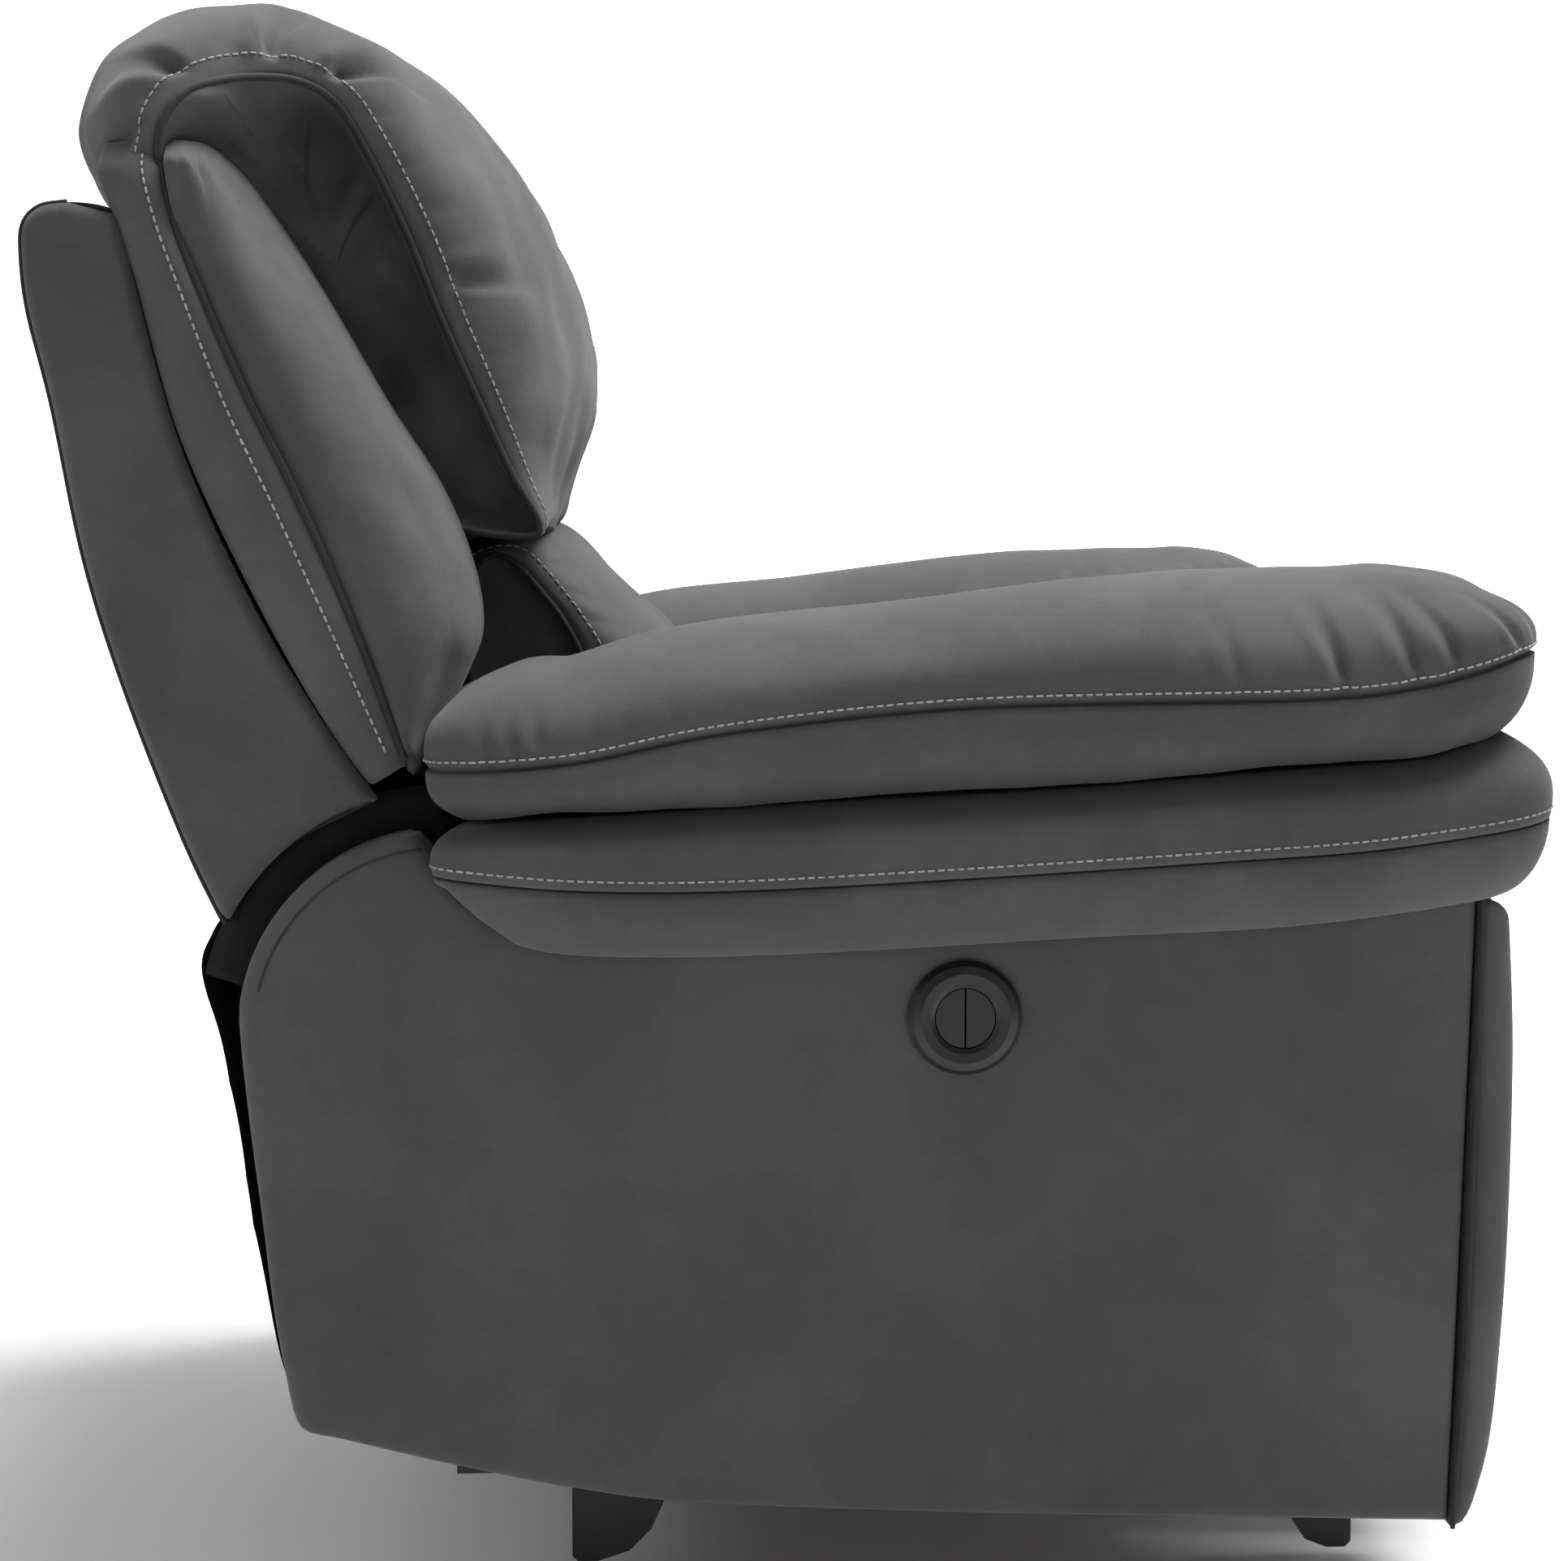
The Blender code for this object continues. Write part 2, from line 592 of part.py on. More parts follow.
def make_footrest(elbow, elbow_place):
    """The footrest's two brackets, its plywood board and its pad, on link B's end."""
    foot_place = (0, *FOOT_PIVOT)
    foot = axis_empty("footrest_axis", foot_place, elbow, elbow_place)
    board_back = FOOT_BOARD_Y
    for side, sign in SIDES.items():
        outline = (arc(FOOT_PIVOT, 0.0120, -90, 90, 8)
                   + [(board_back + GAP, 0.400), (board_back + GAP, 0.270),
                      (board_back + 0.0035, 0.270)])
        bracket = plate(f"footrest_bracket_{side}", outline, sign * BRACKET_X, STEEL,
                        BLACK_STEEL, pivot=FOOT_PIVOT)
        xs = sorted((sign * 0.2000, sign * (BRACKET_X + 0.001)))
        join(bracket, box(f"bracket_flange_{side}", (xs[0], board_back + GAP, 0.272),
                          (xs[1], board_back + 0.0035, 0.398), BLACK_STEEL))
        join(bracket, rod(f"foot_pin_{side}", sign * BRACKET_X, sign * 0.2352, FOOT_PIVOT,
                          0.0050, ZINC, sides=16))
        carry(foot, foot_place, bracket)
    board = box("footrest_board", (-0.240, board_back - FOOT_BOARD, 0.140),
                (0.240, board_back, 0.455), PLYWOOD, bevel=0.002)
    front = board_back - FOOT_BOARD - GAP
    cushion = [(front, 0.150), (front, 0.300), (front, 0.446), (front - 0.020, 0.466),
               (-0.4850, 0.462), (-0.4980, 0.430), (-0.5050, 0.380), (-0.5050, 0.330),
               (-0.4970, 0.265), (-0.4860, 0.190), (-0.4740, 0.145), (front - 0.015, 0.130)]
    footrest_pad = pad("footrest_pad", cushion, -0.256, 0.256, 0.014, SUEDE, steps=1)
    carry(foot, foot_place, board, footrest_pad)


# ---------------------------------------------------------------- actuator

def make_actuator():
    """Rail, lead screw, sliding nut with its yoke, and the gear motor that turns it."""
    screw_end = BEARING_Y + BEARING / 2 + GAP
    rail_end = BEARING_Y - BEARING / 2 - 0.001
    rail = box("actuator_rail", (-0.022, rail_end, 0.176), (0.022, MOTOR_FRONT_Y, 0.192),
               ALUMINIUM, bevel=0.002)
    join(rail, box("front_bearing", (-0.018, BEARING_Y - BEARING / 2, 0.180),
                   (0.018, BEARING_Y + BEARING / 2, 0.228), ALUMINIUM))
    bar_along_y("lead_screw", screw_end, MOTOR_FRONT_Y, 0.0, SCREW_Z, SCREW_RADIUS, ZINC)
    motor = box("actuator_motor", (-0.036, MOTOR_FRONT_Y + GAP, 0.168),
                (0.036, 0.0760, 0.252), BLACK_PLASTIC, bevel=0.004)
    join(motor, bar_along_y("motor_can", 0.070, 0.1520, 0.0, SCREW_Z, 0.031, BLACK_PLASTIC,
                            sides=28))
    hanger_top = RAIL_TOP - 0.0305
    hanger = [(0.130, 0.190), (0.160, 0.190), (0.186, 0.300), (0.186, hanger_top),
              (0.164, hanger_top), (0.158, 0.290)]
    join(motor, plate("hanger", hanger, 0.0, 0.012, BLACK_STEEL))

    y = CRANK_PIN[0]
    nut_place = (0, y, SCREW_Z)
    nut_axis = axis_empty("nut_slide", nut_place)
    nut = box("drive_nut", (-0.020, y - NUT_HALF, 0.1965), (0.020, y + NUT_HALF, 0.2310),
              BLACK_PLASTIC)
    for side, sign in SIDES.items():
        xs = sorted((sign * 0.0080, sign * 0.0125))
        join(nut, box(f"yoke_cheek_{side}", (xs[0], y - 0.0135, 0.2200),
                      (xs[1], y + 0.0135, 0.2760), BLACK_PLASTIC))
    slot_half = CRANK_PIN_RADIUS + 0.0011
    cut(nut, box("yoke_slot", (-0.030, y - slot_half, 0.2440), (0.030, y + slot_half, 0.2660),
                 BLACK_PLASTIC))
    cut(nut, bar_along_y("nut_bore", y - 0.030, y + 0.030, 0.0, SCREW_Z,
                         SCREW_RADIUS + 0.0006, ZINC))
    carry(nut_axis, nut_place, nut)

    inlet = box("power_inlet", (0.1000, 0.2305, 0.0640), (0.1320, 0.2500, 0.0915),
                BLACK_PLASTIC, bevel=0.001)
    cut(inlet, bar_along_y("inlet_socket", 0.2380, 0.2600, 0.1160, 0.0778, 0.0045,
                           BLACK_PLASTIC))


# ---------------------------------------------------------------- back

# the back's own outlines at rest, from its lower corner up
BACK_REAR = [(0.3895, 0.463), (0.4115, 0.512), (0.4455, 0.604), (0.4695, 0.686),
             (0.4875, 0.781), (0.5005, 0.850)]
WING_FRONT = [(0.4385, 0.8815), (0.4175, 0.7915), (0.3935, 0.721), (0.3545, 0.640),
              (0.3195, 0.583)]


def make_back():
    """A timber frame with springs, foam, cushions, side wings and a rear panel."""
    place = (0, *RECLINE)
    hinge = axis_empty("recline_axis", place)
    pieces = []
    for side, sign in SIDES.items():
        pieces += make_back_side(side, sign)

    rail_half = POST_X - POST / 2 - 0.0008
    low = [(0.335, 0.530), (0.372, 0.505), (0.386, 0.535), (0.349, 0.560)]
    high = [(0.437, 0.850), (0.470, 0.842), (0.478, 0.876), (0.445, 0.884)]
    pieces.append(plate("back_rail_bottom", low, 0.0, 2 * rail_half, PINE, pivot=RECLINE))
    pieces.append(plate("back_rail_top", high, 0.0, 2 * rail_half, PINE, pivot=RECLINE))
    paths = [zigzag((0.357, 0.563), (0.433, 0.855), x, 0.024, 5)
             for x in (-0.180, -0.060, 0.060, 0.180)]
    bars = [((-0.210, 0.352, 0.5605), (0.210, 0.362, 0.5660)),
            ((-0.210, 0.430, 0.8500), (0.210, 0.4360, 0.8600))]
    pieces.append(spring_unit("back_springs", paths, bars, 0.0019, SPRING_STEEL, pivot=place))

    foam = [(0.270, 0.622), (0.288, 0.690), (0.314, 0.745), (0.354, 0.820), (0.388, 0.876),
            (0.424, 0.872), (0.400, 0.780), (0.372, 0.690), (0.346, 0.604), (0.300, 0.600)]
    pieces.append(plate("back_foam", foam, 0.0, 0.650, FOAM, pivot=RECLINE))

    pillow = [(0.4905, 0.931), (0.5000, 0.968), (0.4800, 1.018), (0.4350, 1.053),
              (0.3805, 1.065), (0.3245, 1.056), (0.2675, 1.024), (0.2225, 0.981),
              (0.1765, 0.921), (0.1520, 0.850), (0.1500, 0.789), (0.1635, 0.735),
              (0.1900, 0.703), (0.2300, 0.702), (0.2750, 0.712), (0.3020, 0.750),
              (0.3400, 0.822), (0.3760, 0.890), (0.4180, 0.914), (0.4660, 0.915)]
    pieces.append(pad("head_pillow", pillow, -PILLOW_HALF, PILLOW_HALF, 0.030, SUEDE,
                      pivot=RECLINE))
    lumbar = [(0.1860, 0.696), (0.1600, 0.689), (0.1385, 0.674), (0.1155, 0.649),
              (0.0925, 0.624), (0.0780, 0.594), (0.0750, 0.556), (0.0900, 0.520),
              (0.1300, 0.504), (0.1850, 0.508), (0.2180, 0.540), (0.2400, 0.600),
              (0.2540, 0.650), (0.2450, 0.688)]
    pieces.append(pad("lumbar_cushion", lumbar, -0.2560, 0.2560, 0.024, SUEDE,
                      pivot=RECLINE))

    skin = 0.008
    front_face = [(y - skin, z) for y, z in BACK_REAR]
    panel = BACK_REAR + [(0.5035, 0.8700), (0.4955, 0.8700)] + front_face[::-1]
    pieces.append(plate("back_rear_panel", panel, 0.0, 0.8500, SUEDE_SIDE, pivot=RECLINE))
    carry(hinge, place, *pieces)


def make_back_side(side, sign):
    """One post, its flat side wing, the bolster in front of it and the hinge bracket."""
    post = [(0.3360, 0.5640), (0.3880, 0.5120), (0.4260, 0.608), (0.4500, 0.690),
            (0.4690, 0.785), (0.4850, 0.878), (0.4480, 0.886), (0.4330, 0.790),
            (0.4090, 0.705), (0.3780, 0.632)]
    back_post = plate(f"back_post_{side}", post, sign * POST_X, POST, PINE, pivot=RECLINE)

    lower_arc = arc(RECLINE, BACK_ARC, 27, 76, 7)
    wing = (lower_arc[::-1] + [(0.3900, 0.462)] + BACK_REAR[1:]
            + [(0.5050, 0.886), (0.5010, 0.899), (0.4870, 0.906), (0.4505, 0.905)]
            + WING_FRONT)
    wing_plate = plate(f"back_wing_{side}", wing, sign * (BACK_HALF - WING / 2), WING,
                       SUEDE_SIDE, pivot=RECLINE)

    step = 0.003
    bolster = ([(y - step, z) for y, z in WING_FRONT[::-1]]
               + [(0.4400, 0.908), (0.4240, 0.945), (0.3970, 0.970), (0.3725, 0.944),
                  (0.3475, 0.8935), (0.3180, 0.843), (0.2830, 0.787), (0.2500, 0.731),
                  (0.2300, 0.680), (0.2340, 0.636), (0.2580, 0.598), (0.2660, 0.560),
                  (0.2860, 0.5480)])
    cushion = pad(f"back_bolster_{side}", bolster, sign * 0.3350, sign * (BACK_HALF + 0.006),
                  0.016, SUEDE, pivot=RECLINE, steps=1)

    top = (0.3140, 0.5330)
    bracket = plate(f"back_bracket_{side}", capsule(RECLINE, top, 0.0190),
                    sign * BACK_BRACKET_X, STEEL, BLACK_STEEL, pivot=RECLINE)
    join(bracket, rod(f"recline_pin_{side}", sign * BACK_BRACKET_X, sign * 0.2475, RECLINE,
                      0.0078, ZINC, sides=20))
    return [back_post, wing_plate, cushion, bracket]


def make_rear_cover():
    """The black cloth that closes the gap under the back, behind the arms."""
    outer = [(0.3940, 0.4500), (0.4035, 0.4240), (0.3925, 0.376), (0.3805, 0.301),
             (0.3710, 0.258), (0.3620, 0.190), (0.3560, 0.145)]
    inner = [(y - 0.0035, z) for y, z in outer]
    plate("rear_cover", outer + inner[::-1], 0.0, 0.8360, BLACK_CLOTH)


# ---------------------------------------------------------------- switch

def make_switch(panel, board):
    """A round two-button switch let into the right arm's side panel."""
    face = -ARM_FACE_X
    centre = (SWITCH_Y, SWITCH_Z)
    for target in (panel, board):
        cut(target, rod(f"switch_hole_{target.name}", face - 0.01, face + 0.05, centre,
                        SWITCH_CUP_RADIUS + GAP, SWITCH_PLASTIC, sides=32))
    turned("switch_bezel",
           [(-0.0005, BEZEL_HOLE), (-0.0005, BEZEL_RADIUS), (-0.0030, BEZEL_RADIUS),
            (-0.0060, BEZEL_RADIUS - 0.0030), (-0.0080, BEZEL_RADIUS - 0.0080),
            (-0.0075, BEZEL_HOLE + 0.0030), (-0.0055, BEZEL_HOLE)],
           centre, SWITCH_PLASTIC, (face, 0, 0))
    cup_floor = 0.0150
    cup_end = 0.0300
    turned("switch_housing",
           [(0.0, BEZEL_HOLE), (cup_floor, BEZEL_HOLE), (cup_floor, 0.0), (cup_end, 0.0),
            (cup_end, SWITCH_CUP_RADIUS), (0.0, SWITCH_CUP_RADIUS)],
           centre, BLACK_PLASTIC, (face, 0, 0))
    for name, turn in (("button_open", 1), ("button_close", -1)):
        flat = 0.0006
        start = math.degrees(math.asin(flat / BUTTON_RADIUS))
        half = arc(centre, BUTTON_RADIUS, 90 + start, 270 - start, 14)
        outline = [(centre[0] - turn * (y - centre[0]), z) for y, z in half]
        thickness = cup_floor - BUTTON_TRAVEL - 0.0006 + 0.0050
        middle = face - 0.0050 + thickness / 2
        button = plate(name, outline, middle, thickness, SWITCH_PLASTIC, pivot=centre)
        slide = axis_empty(f"{name}_slide", (0, *centre))
        carry(slide, (0, *centre), button)


# ---------------------------------------------------------------- the chair

make_base()
arms = {side: make_arm(side, sign) for side, sign in SIDES.items()}
make_seat()
make_mechanism()
make_actuator()
make_back()
make_rear_cover()
make_switch(*arms["right"])
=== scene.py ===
"""A charcoal faux-suede power recliner armchair: the looks, built around its CAD frame.

Metres, +Z up, floor at Z = 0. The chair faces -Y and the sitter's right is at -X.
"""

import math

import bmesh
import bpy
import numpy as np
from mathutils import Matrix, Vector


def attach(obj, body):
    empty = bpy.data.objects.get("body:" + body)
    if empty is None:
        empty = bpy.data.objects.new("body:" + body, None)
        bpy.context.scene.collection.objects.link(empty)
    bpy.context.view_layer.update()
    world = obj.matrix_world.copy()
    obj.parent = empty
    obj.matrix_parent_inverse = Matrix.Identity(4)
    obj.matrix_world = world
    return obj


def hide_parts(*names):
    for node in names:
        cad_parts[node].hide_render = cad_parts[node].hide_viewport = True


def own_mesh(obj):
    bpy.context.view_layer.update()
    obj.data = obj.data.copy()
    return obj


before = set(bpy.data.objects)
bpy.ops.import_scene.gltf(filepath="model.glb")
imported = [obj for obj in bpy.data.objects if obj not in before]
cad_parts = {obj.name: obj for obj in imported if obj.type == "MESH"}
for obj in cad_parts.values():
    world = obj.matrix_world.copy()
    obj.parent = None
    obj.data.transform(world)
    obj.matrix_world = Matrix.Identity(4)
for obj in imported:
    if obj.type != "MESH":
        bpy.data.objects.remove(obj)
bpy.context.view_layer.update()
SIDES = {"left": 1, "right": -1}


# ---- room
# A studio's white sweep, lit from a large soft box overhead and towards the chair's
# front, with a white room around it that lifts the shadows.

def linear(code):
    """An sRGB hex colour as linear red, green and blue."""
    values = [int(code[i:i + 2], 16) / 255 for i in (1, 3, 5)]
    return [v / 12.92 if v <= 0.04045 else ((v + 0.055) / 1.055) ** 2.4 for v in values]


def new_material(name, code, roughness, metallic=0.0):
    """A material with its Principled shader: returns the node tree and the shader too."""
    material = bpy.data.materials.new(name)
    material.use_nodes = True
    tree = material.node_tree
    shader = tree.nodes["Principled BSDF"]
    shader.inputs["Base Color"].default_value = (*linear(code), 1)
    shader.inputs["Roughness"].default_value = roughness
    shader.inputs["Metallic"].default_value = metallic
    return material, tree, shader


def add_node(tree, kind, settings=None, links=None, values=None):
    """Adds one node: its properties, the sockets linked into it, and its socket values."""
    made = tree.nodes.new("ShaderNode" + kind)
    for key, value in (settings or {}).items():
        setattr(made, key, value)
    for key, value in (values or {}).items():
        made.inputs[key].default_value = value
    for key, source in (links or {}).items():
        tree.links.new(source, made.inputs[key])
    return made


def matte_paper():
    """Seamless background paper: chalky, with a faint unevenness."""
    material, tree, shader = new_material("background_paper", "#fafafa", 0.9)
    where = add_node(tree, "TexCoord").outputs["Object"]
    noise = add_node(tree, "TexNoise", links={"Vector": where},
                     values={"Scale": 0.7, "Detail": 3})
    ramp = add_node(tree, "ValToRGB", links={"Fac": noise.outputs["Fac"]})
    ramp.color_ramp.elements[0].color = (*linear("#f8f8f8"), 1)
    ramp.color_ramp.elements[1].color = (*linear("#fcfcfc"), 1)
    tree.links.new(ramp.outputs["Color"], shader.inputs["Base Color"])
    return material


def through(points, steps, closed=False):
    """The smooth curve through some points, with so many steps between two neighbours.

    Each stretch is the Catmull-Rom cubic of its four nearest points, all at once.
    """
    given = np.asarray(points, float)
    if closed:
        ring = np.vstack([given[-1:], given, given[:2]])
    else:
        ring = np.vstack([2 * given[:1] - given[1:2], given, 2 * given[-1:] - given[-2:-1]])
    t = np.linspace(0, 1, steps, endpoint=False)[:, None, None]
    p0, p1, p2, p3 = ring[:-3], ring[1:-2], ring[2:-1], ring[3:]
    dense = 0.5 * (2 * p1 + (p2 - p0) * t + (2 * p0 - 5 * p1 + 4 * p2 - p3) * t ** 2
                   + (3 * p1 - p0 - 3 * p2 + p3) * t ** 3)
    dense = dense.transpose(1, 0, 2).reshape(-1, given.shape[1])
    return dense if closed else np.vstack([dense, given[-1:]])


def evenly(dense, count, closed=False):
    """Points spaced evenly by running length on a line of many points.

    Columns after the third, such as a direction at each point, go along with the place.
    """
    dense = np.vstack([dense, dense[:1]]) if closed else dense
    run = np.r_[0, np.cumsum(np.linalg.norm(np.diff(dense[:, :3], axis=0), axis=1))]
    want = np.linspace(0, run[-1], count + 1)[:-1] if closed else np.linspace(0, run[-1], count)
    return np.stack([np.interp(want, run, dense[:, k]) for k in range(dense.shape[1])], 1)


def along(points, count):
    """Evenly spaced points on the smooth curve through some points."""
    return evenly(through(points, 16), count)


def build(name, points, faces, material, closed=True):
    """A smooth-shaded mesh piece; a closed one is turned so that its faces look out."""
    mesh = bpy.data.meshes.new(name)
    mesh.from_pydata(points.reshape(-1, 3).tolist(), [], faces)
    mesh.update()
    if closed:
        volume = bmesh.new()
        volume.from_mesh(mesh)
        if volume.calc_volume(signed=True) < 0:
            mesh.flip_normals()
        volume.free()
    mesh.shade_smooth()
    mesh.materials.append(material)
    thing = bpy.data.objects.new(name, mesh)
    bpy.context.scene.collection.objects.link(thing)
    return thing


def quads(index):
    """The quads of a grid of vertex numbers."""
    corners = [index[:-1, :-1], index[:-1, 1:], index[1:, 1:], index[1:, :-1]]
    return np.stack(corners, -1).reshape(-1, 4).tolist()


# the floor runs up into the backdrop on a wide curve behind the chair
sweep_profile = along([(-9, 0), (-3, 0), (4.5, 0), (6.5, 0.5), (7.4, 2.5), (7.5, 6)], 60)
sweep_y = np.linspace(-9, 9, 20)
sweep = np.stack(np.broadcast_arrays(sweep_profile[:, None, 0], sweep_y[None, :],
                                     sweep_profile[:, None, 1]), -1)
numbers = np.arange(60 * 20).reshape(60, 20)
floor = build("studio_sweep", sweep, quads(numbers), matte_paper(), closed=False)

camera = bpy.data.objects.new("camera", bpy.data.cameras.new("camera"))
bpy.context.scene.collection.objects.link(camera)
bpy.context.scene.camera = camera
camera.data.lens = 76.7
camera.location = (-2.555, 0.16, 0.727)
yaw, pitch = math.radians(3.53), math.radians(-4.91)
looking = Vector((math.cos(yaw) * math.cos(pitch), -math.sin(yaw) * math.cos(pitch),
                  math.sin(pitch)))
camera.rotation_euler = looking.to_track_quat("-Z", "Y").to_euler()


def soft_box(name, place, target, size, power):
    """A square area light aimed at a point."""
    light = bpy.data.lights.new(name, "AREA")
    light.shape = "SQUARE"
    light.size = size
    light.energy = power
    thing = bpy.data.objects.new(name, light)
    thing.location = place
    aim = Vector(target) - Vector(place)
    thing.rotation_euler = aim.to_track_quat("-Z", "Y").to_euler()
    bpy.context.scene.collection.objects.link(thing)


soft_box("overhead", (0.2, -0.9, 3.6), (0, -0.1, 0.5), 2.4, 245)
soft_box("camera_fill", (-3.6, -1.2, 1.6), (0, 0, 0.5), 1.8, 3)
soft_box("rear_fill", (-1.2, 3.4, 2.2), (0, 0, 0.6), 1.8, 26)
soft_box("backdrop", (3.2, 0.0, 3.6), (6.6, 0, 0.8), 3.0, 420)
world = bpy.data.worlds.new("white_room")
world.use_nodes = True
world.node_tree.nodes["Background"].inputs["Color"].default_value = (1, 1, 1, 1)
world.node_tree.nodes["Background"].inputs["Strength"].default_value = 0.3
bpy.context.scene.world = world
bpy.context.scene.view_settings.view_transform = "Standard"


# ---- steel mechanism
# Folded steel bars and tubes, powder-coated black; the torque tube and the lead screw are
# zinc plated, the springs are oiled wire. They stay the CAD's own pieces.

def paint(material, *nodes):
    """Gives CAD nodes a finished material."""
    for name in nodes:
        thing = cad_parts[name]
        thing.data.materials.clear()
        thing.data.materials.append(material)


def grainy(name, dark, light, grain_mm, depth_mm, roughness, metallic=0.0, stretch=(1, 1, 1)):
    """A finish with one fine grain, which varies its colour, gloss and height.

    The grain's scale is one over its real size; stretch lengthens it along an axis, as
    brushing or sawing does.
    """
    material, tree, shader = new_material(name, light, roughness, metallic)
    where = add_node(tree, "TexCoord").outputs["Object"]
    turned = add_node(tree, "Mapping", links={"Vector": where},
                      values={"Scale": stretch})
    grain = add_node(tree, "TexNoise", links={"Vector": turned.outputs["Vector"]},
                     values={"Scale": 1000 / grain_mm, "Detail": 4, "Roughness": 0.6})
    broad = add_node(tree, "TexNoise", links={"Vector": turned.outputs["Vector"]},
                     values={"Scale": 60 / grain_mm, "Detail": 3})
    both = add_node(tree, "Math", {"operation": "MULTIPLY_ADD"},
                    {0: grain.outputs["Fac"], 2: broad.outputs["Fac"]}, {1: 0.5})
    ramp = add_node(tree, "ValToRGB", links={"Fac": both.outputs[0]})
    ramp.color_ramp.elements[0].position = 0.55
    ramp.color_ramp.elements[0].color = (*linear(dark), 1)
    ramp.color_ramp.elements[1].position = 0.95
    ramp.color_ramp.elements[1].color = (*linear(light), 1)
    gloss = add_node(tree, "MapRange", links={"Value": both.outputs[0]},
                     values={"From Min": 0.4, "From Max": 1.1, "To Min": roughness - 0.06,
                             "To Max": roughness + 0.08})
    bump = add_node(tree, "Bump", links={"Height": grain.outputs["Fac"]},
                    values={"Distance": depth_mm / 1000, "Strength": 0.6})
    tree.links.new(ramp.outputs["Color"], shader.inputs["Base Color"])
    tree.links.new(gloss.outputs["Result"], shader.inputs["Roughness"])
    tree.links.new(bump.outputs["Normal"], shader.inputs["Normal"])
    return material


# powder coat: a fine orange peel, so soft broken highlights
powder_coat = grainy("black_powder_coat", "#0b0b0c", "#161617", 2.0, 0.1, 0.42)
# zinc plate: dull silver with drawn streaks
zinc = grainy("zinc_plated_steel", "#8f9093", "#b6b8ba", 1.5, 0.03, 0.34, 1.0, (0.2, 1, 1))
# spring wire: oiled, nearly black-brown steel
spring_wire = grainy("oiled_spring_wire", "#3b3a39", "#5b5a58", 1.2, 0.03, 0.38, 1.0)
# extruded aluminium: die lines along the rail
extrusion = grainy("extruded_aluminium", "#a6a8ab", "#c6c8ca", 1.5, 0.03, 0.32, 1.0,
                   (1, 0.08, 1))
paint(powder_coat, "base_frame", *(f"{part}_{side}" for side in SIDES for part in (
    "mech_plate", "link_a", "link_b", "footrest_bracket", "back_bracket")))
paint(zinc, "torque_tube", "lead_screw")
paint(spring_wire, "seat_springs", "back_springs")
paint(extrusion, "actuator_rail")


# ---- moulded plastic and feet
# The gear motor, nut, inlet and switch cup are injection-moulded nylon with a spark-eroded
# texture; the feet are the same nylon.

# moulded nylon: fine even texture, black
nylon = grainy("moulded_nylon", "#0a0a0a", "#141414", 1.1, 0.08, 0.48)
paint(nylon, "actuator_motor", "drive_nut", "power_inlet", "switch_housing",
      *(f"foot_{end}_{side}" for end in ("front", "rear") for side in SIDES))


# ---- timber and foam
# Sawn pine rails, plywood arm boards and the back's cut foam, all under the covers.

# pine: pale, with long streaks of late wood
pine = grainy("sawn_pine", "#b98d55", "#d9b480", 7.0, 0.25, 0.62, stretch=(0.15, 1, 1))
# plywood: sanded birch face
birch_ply = grainy("birch_plywood", "#b3925f", "#cfae7c", 6.0, 0.15, 0.6, stretch=(1, 0.2, 1))
# foam: open cells, cream
foam = grainy("open_cell_foam", "#c9bf98", "#e3dab4", 2.2, 0.8, 0.85)
paint(pine, "seat_front_rail", "seat_rear_rail", "back_rail_bottom", "back_rail_top",
      *(f"{part}_{side}" for side in SIDES for part in ("seat_side_rail", "back_post")))
paint(birch_ply, "footrest_board", *(f"arm_side_board_{side}" for side in SIDES),
      *(f"arm_inner_board_{side}" for side in SIDES))
paint(foam, "back_foam")


# ---- suede cloth
# Warp-knit polyester, brushed and printed to look like worn nubuck: charcoal, with clouds
# from bluish to olive grey where the pile lies differently, and a soft bloom at its edges.

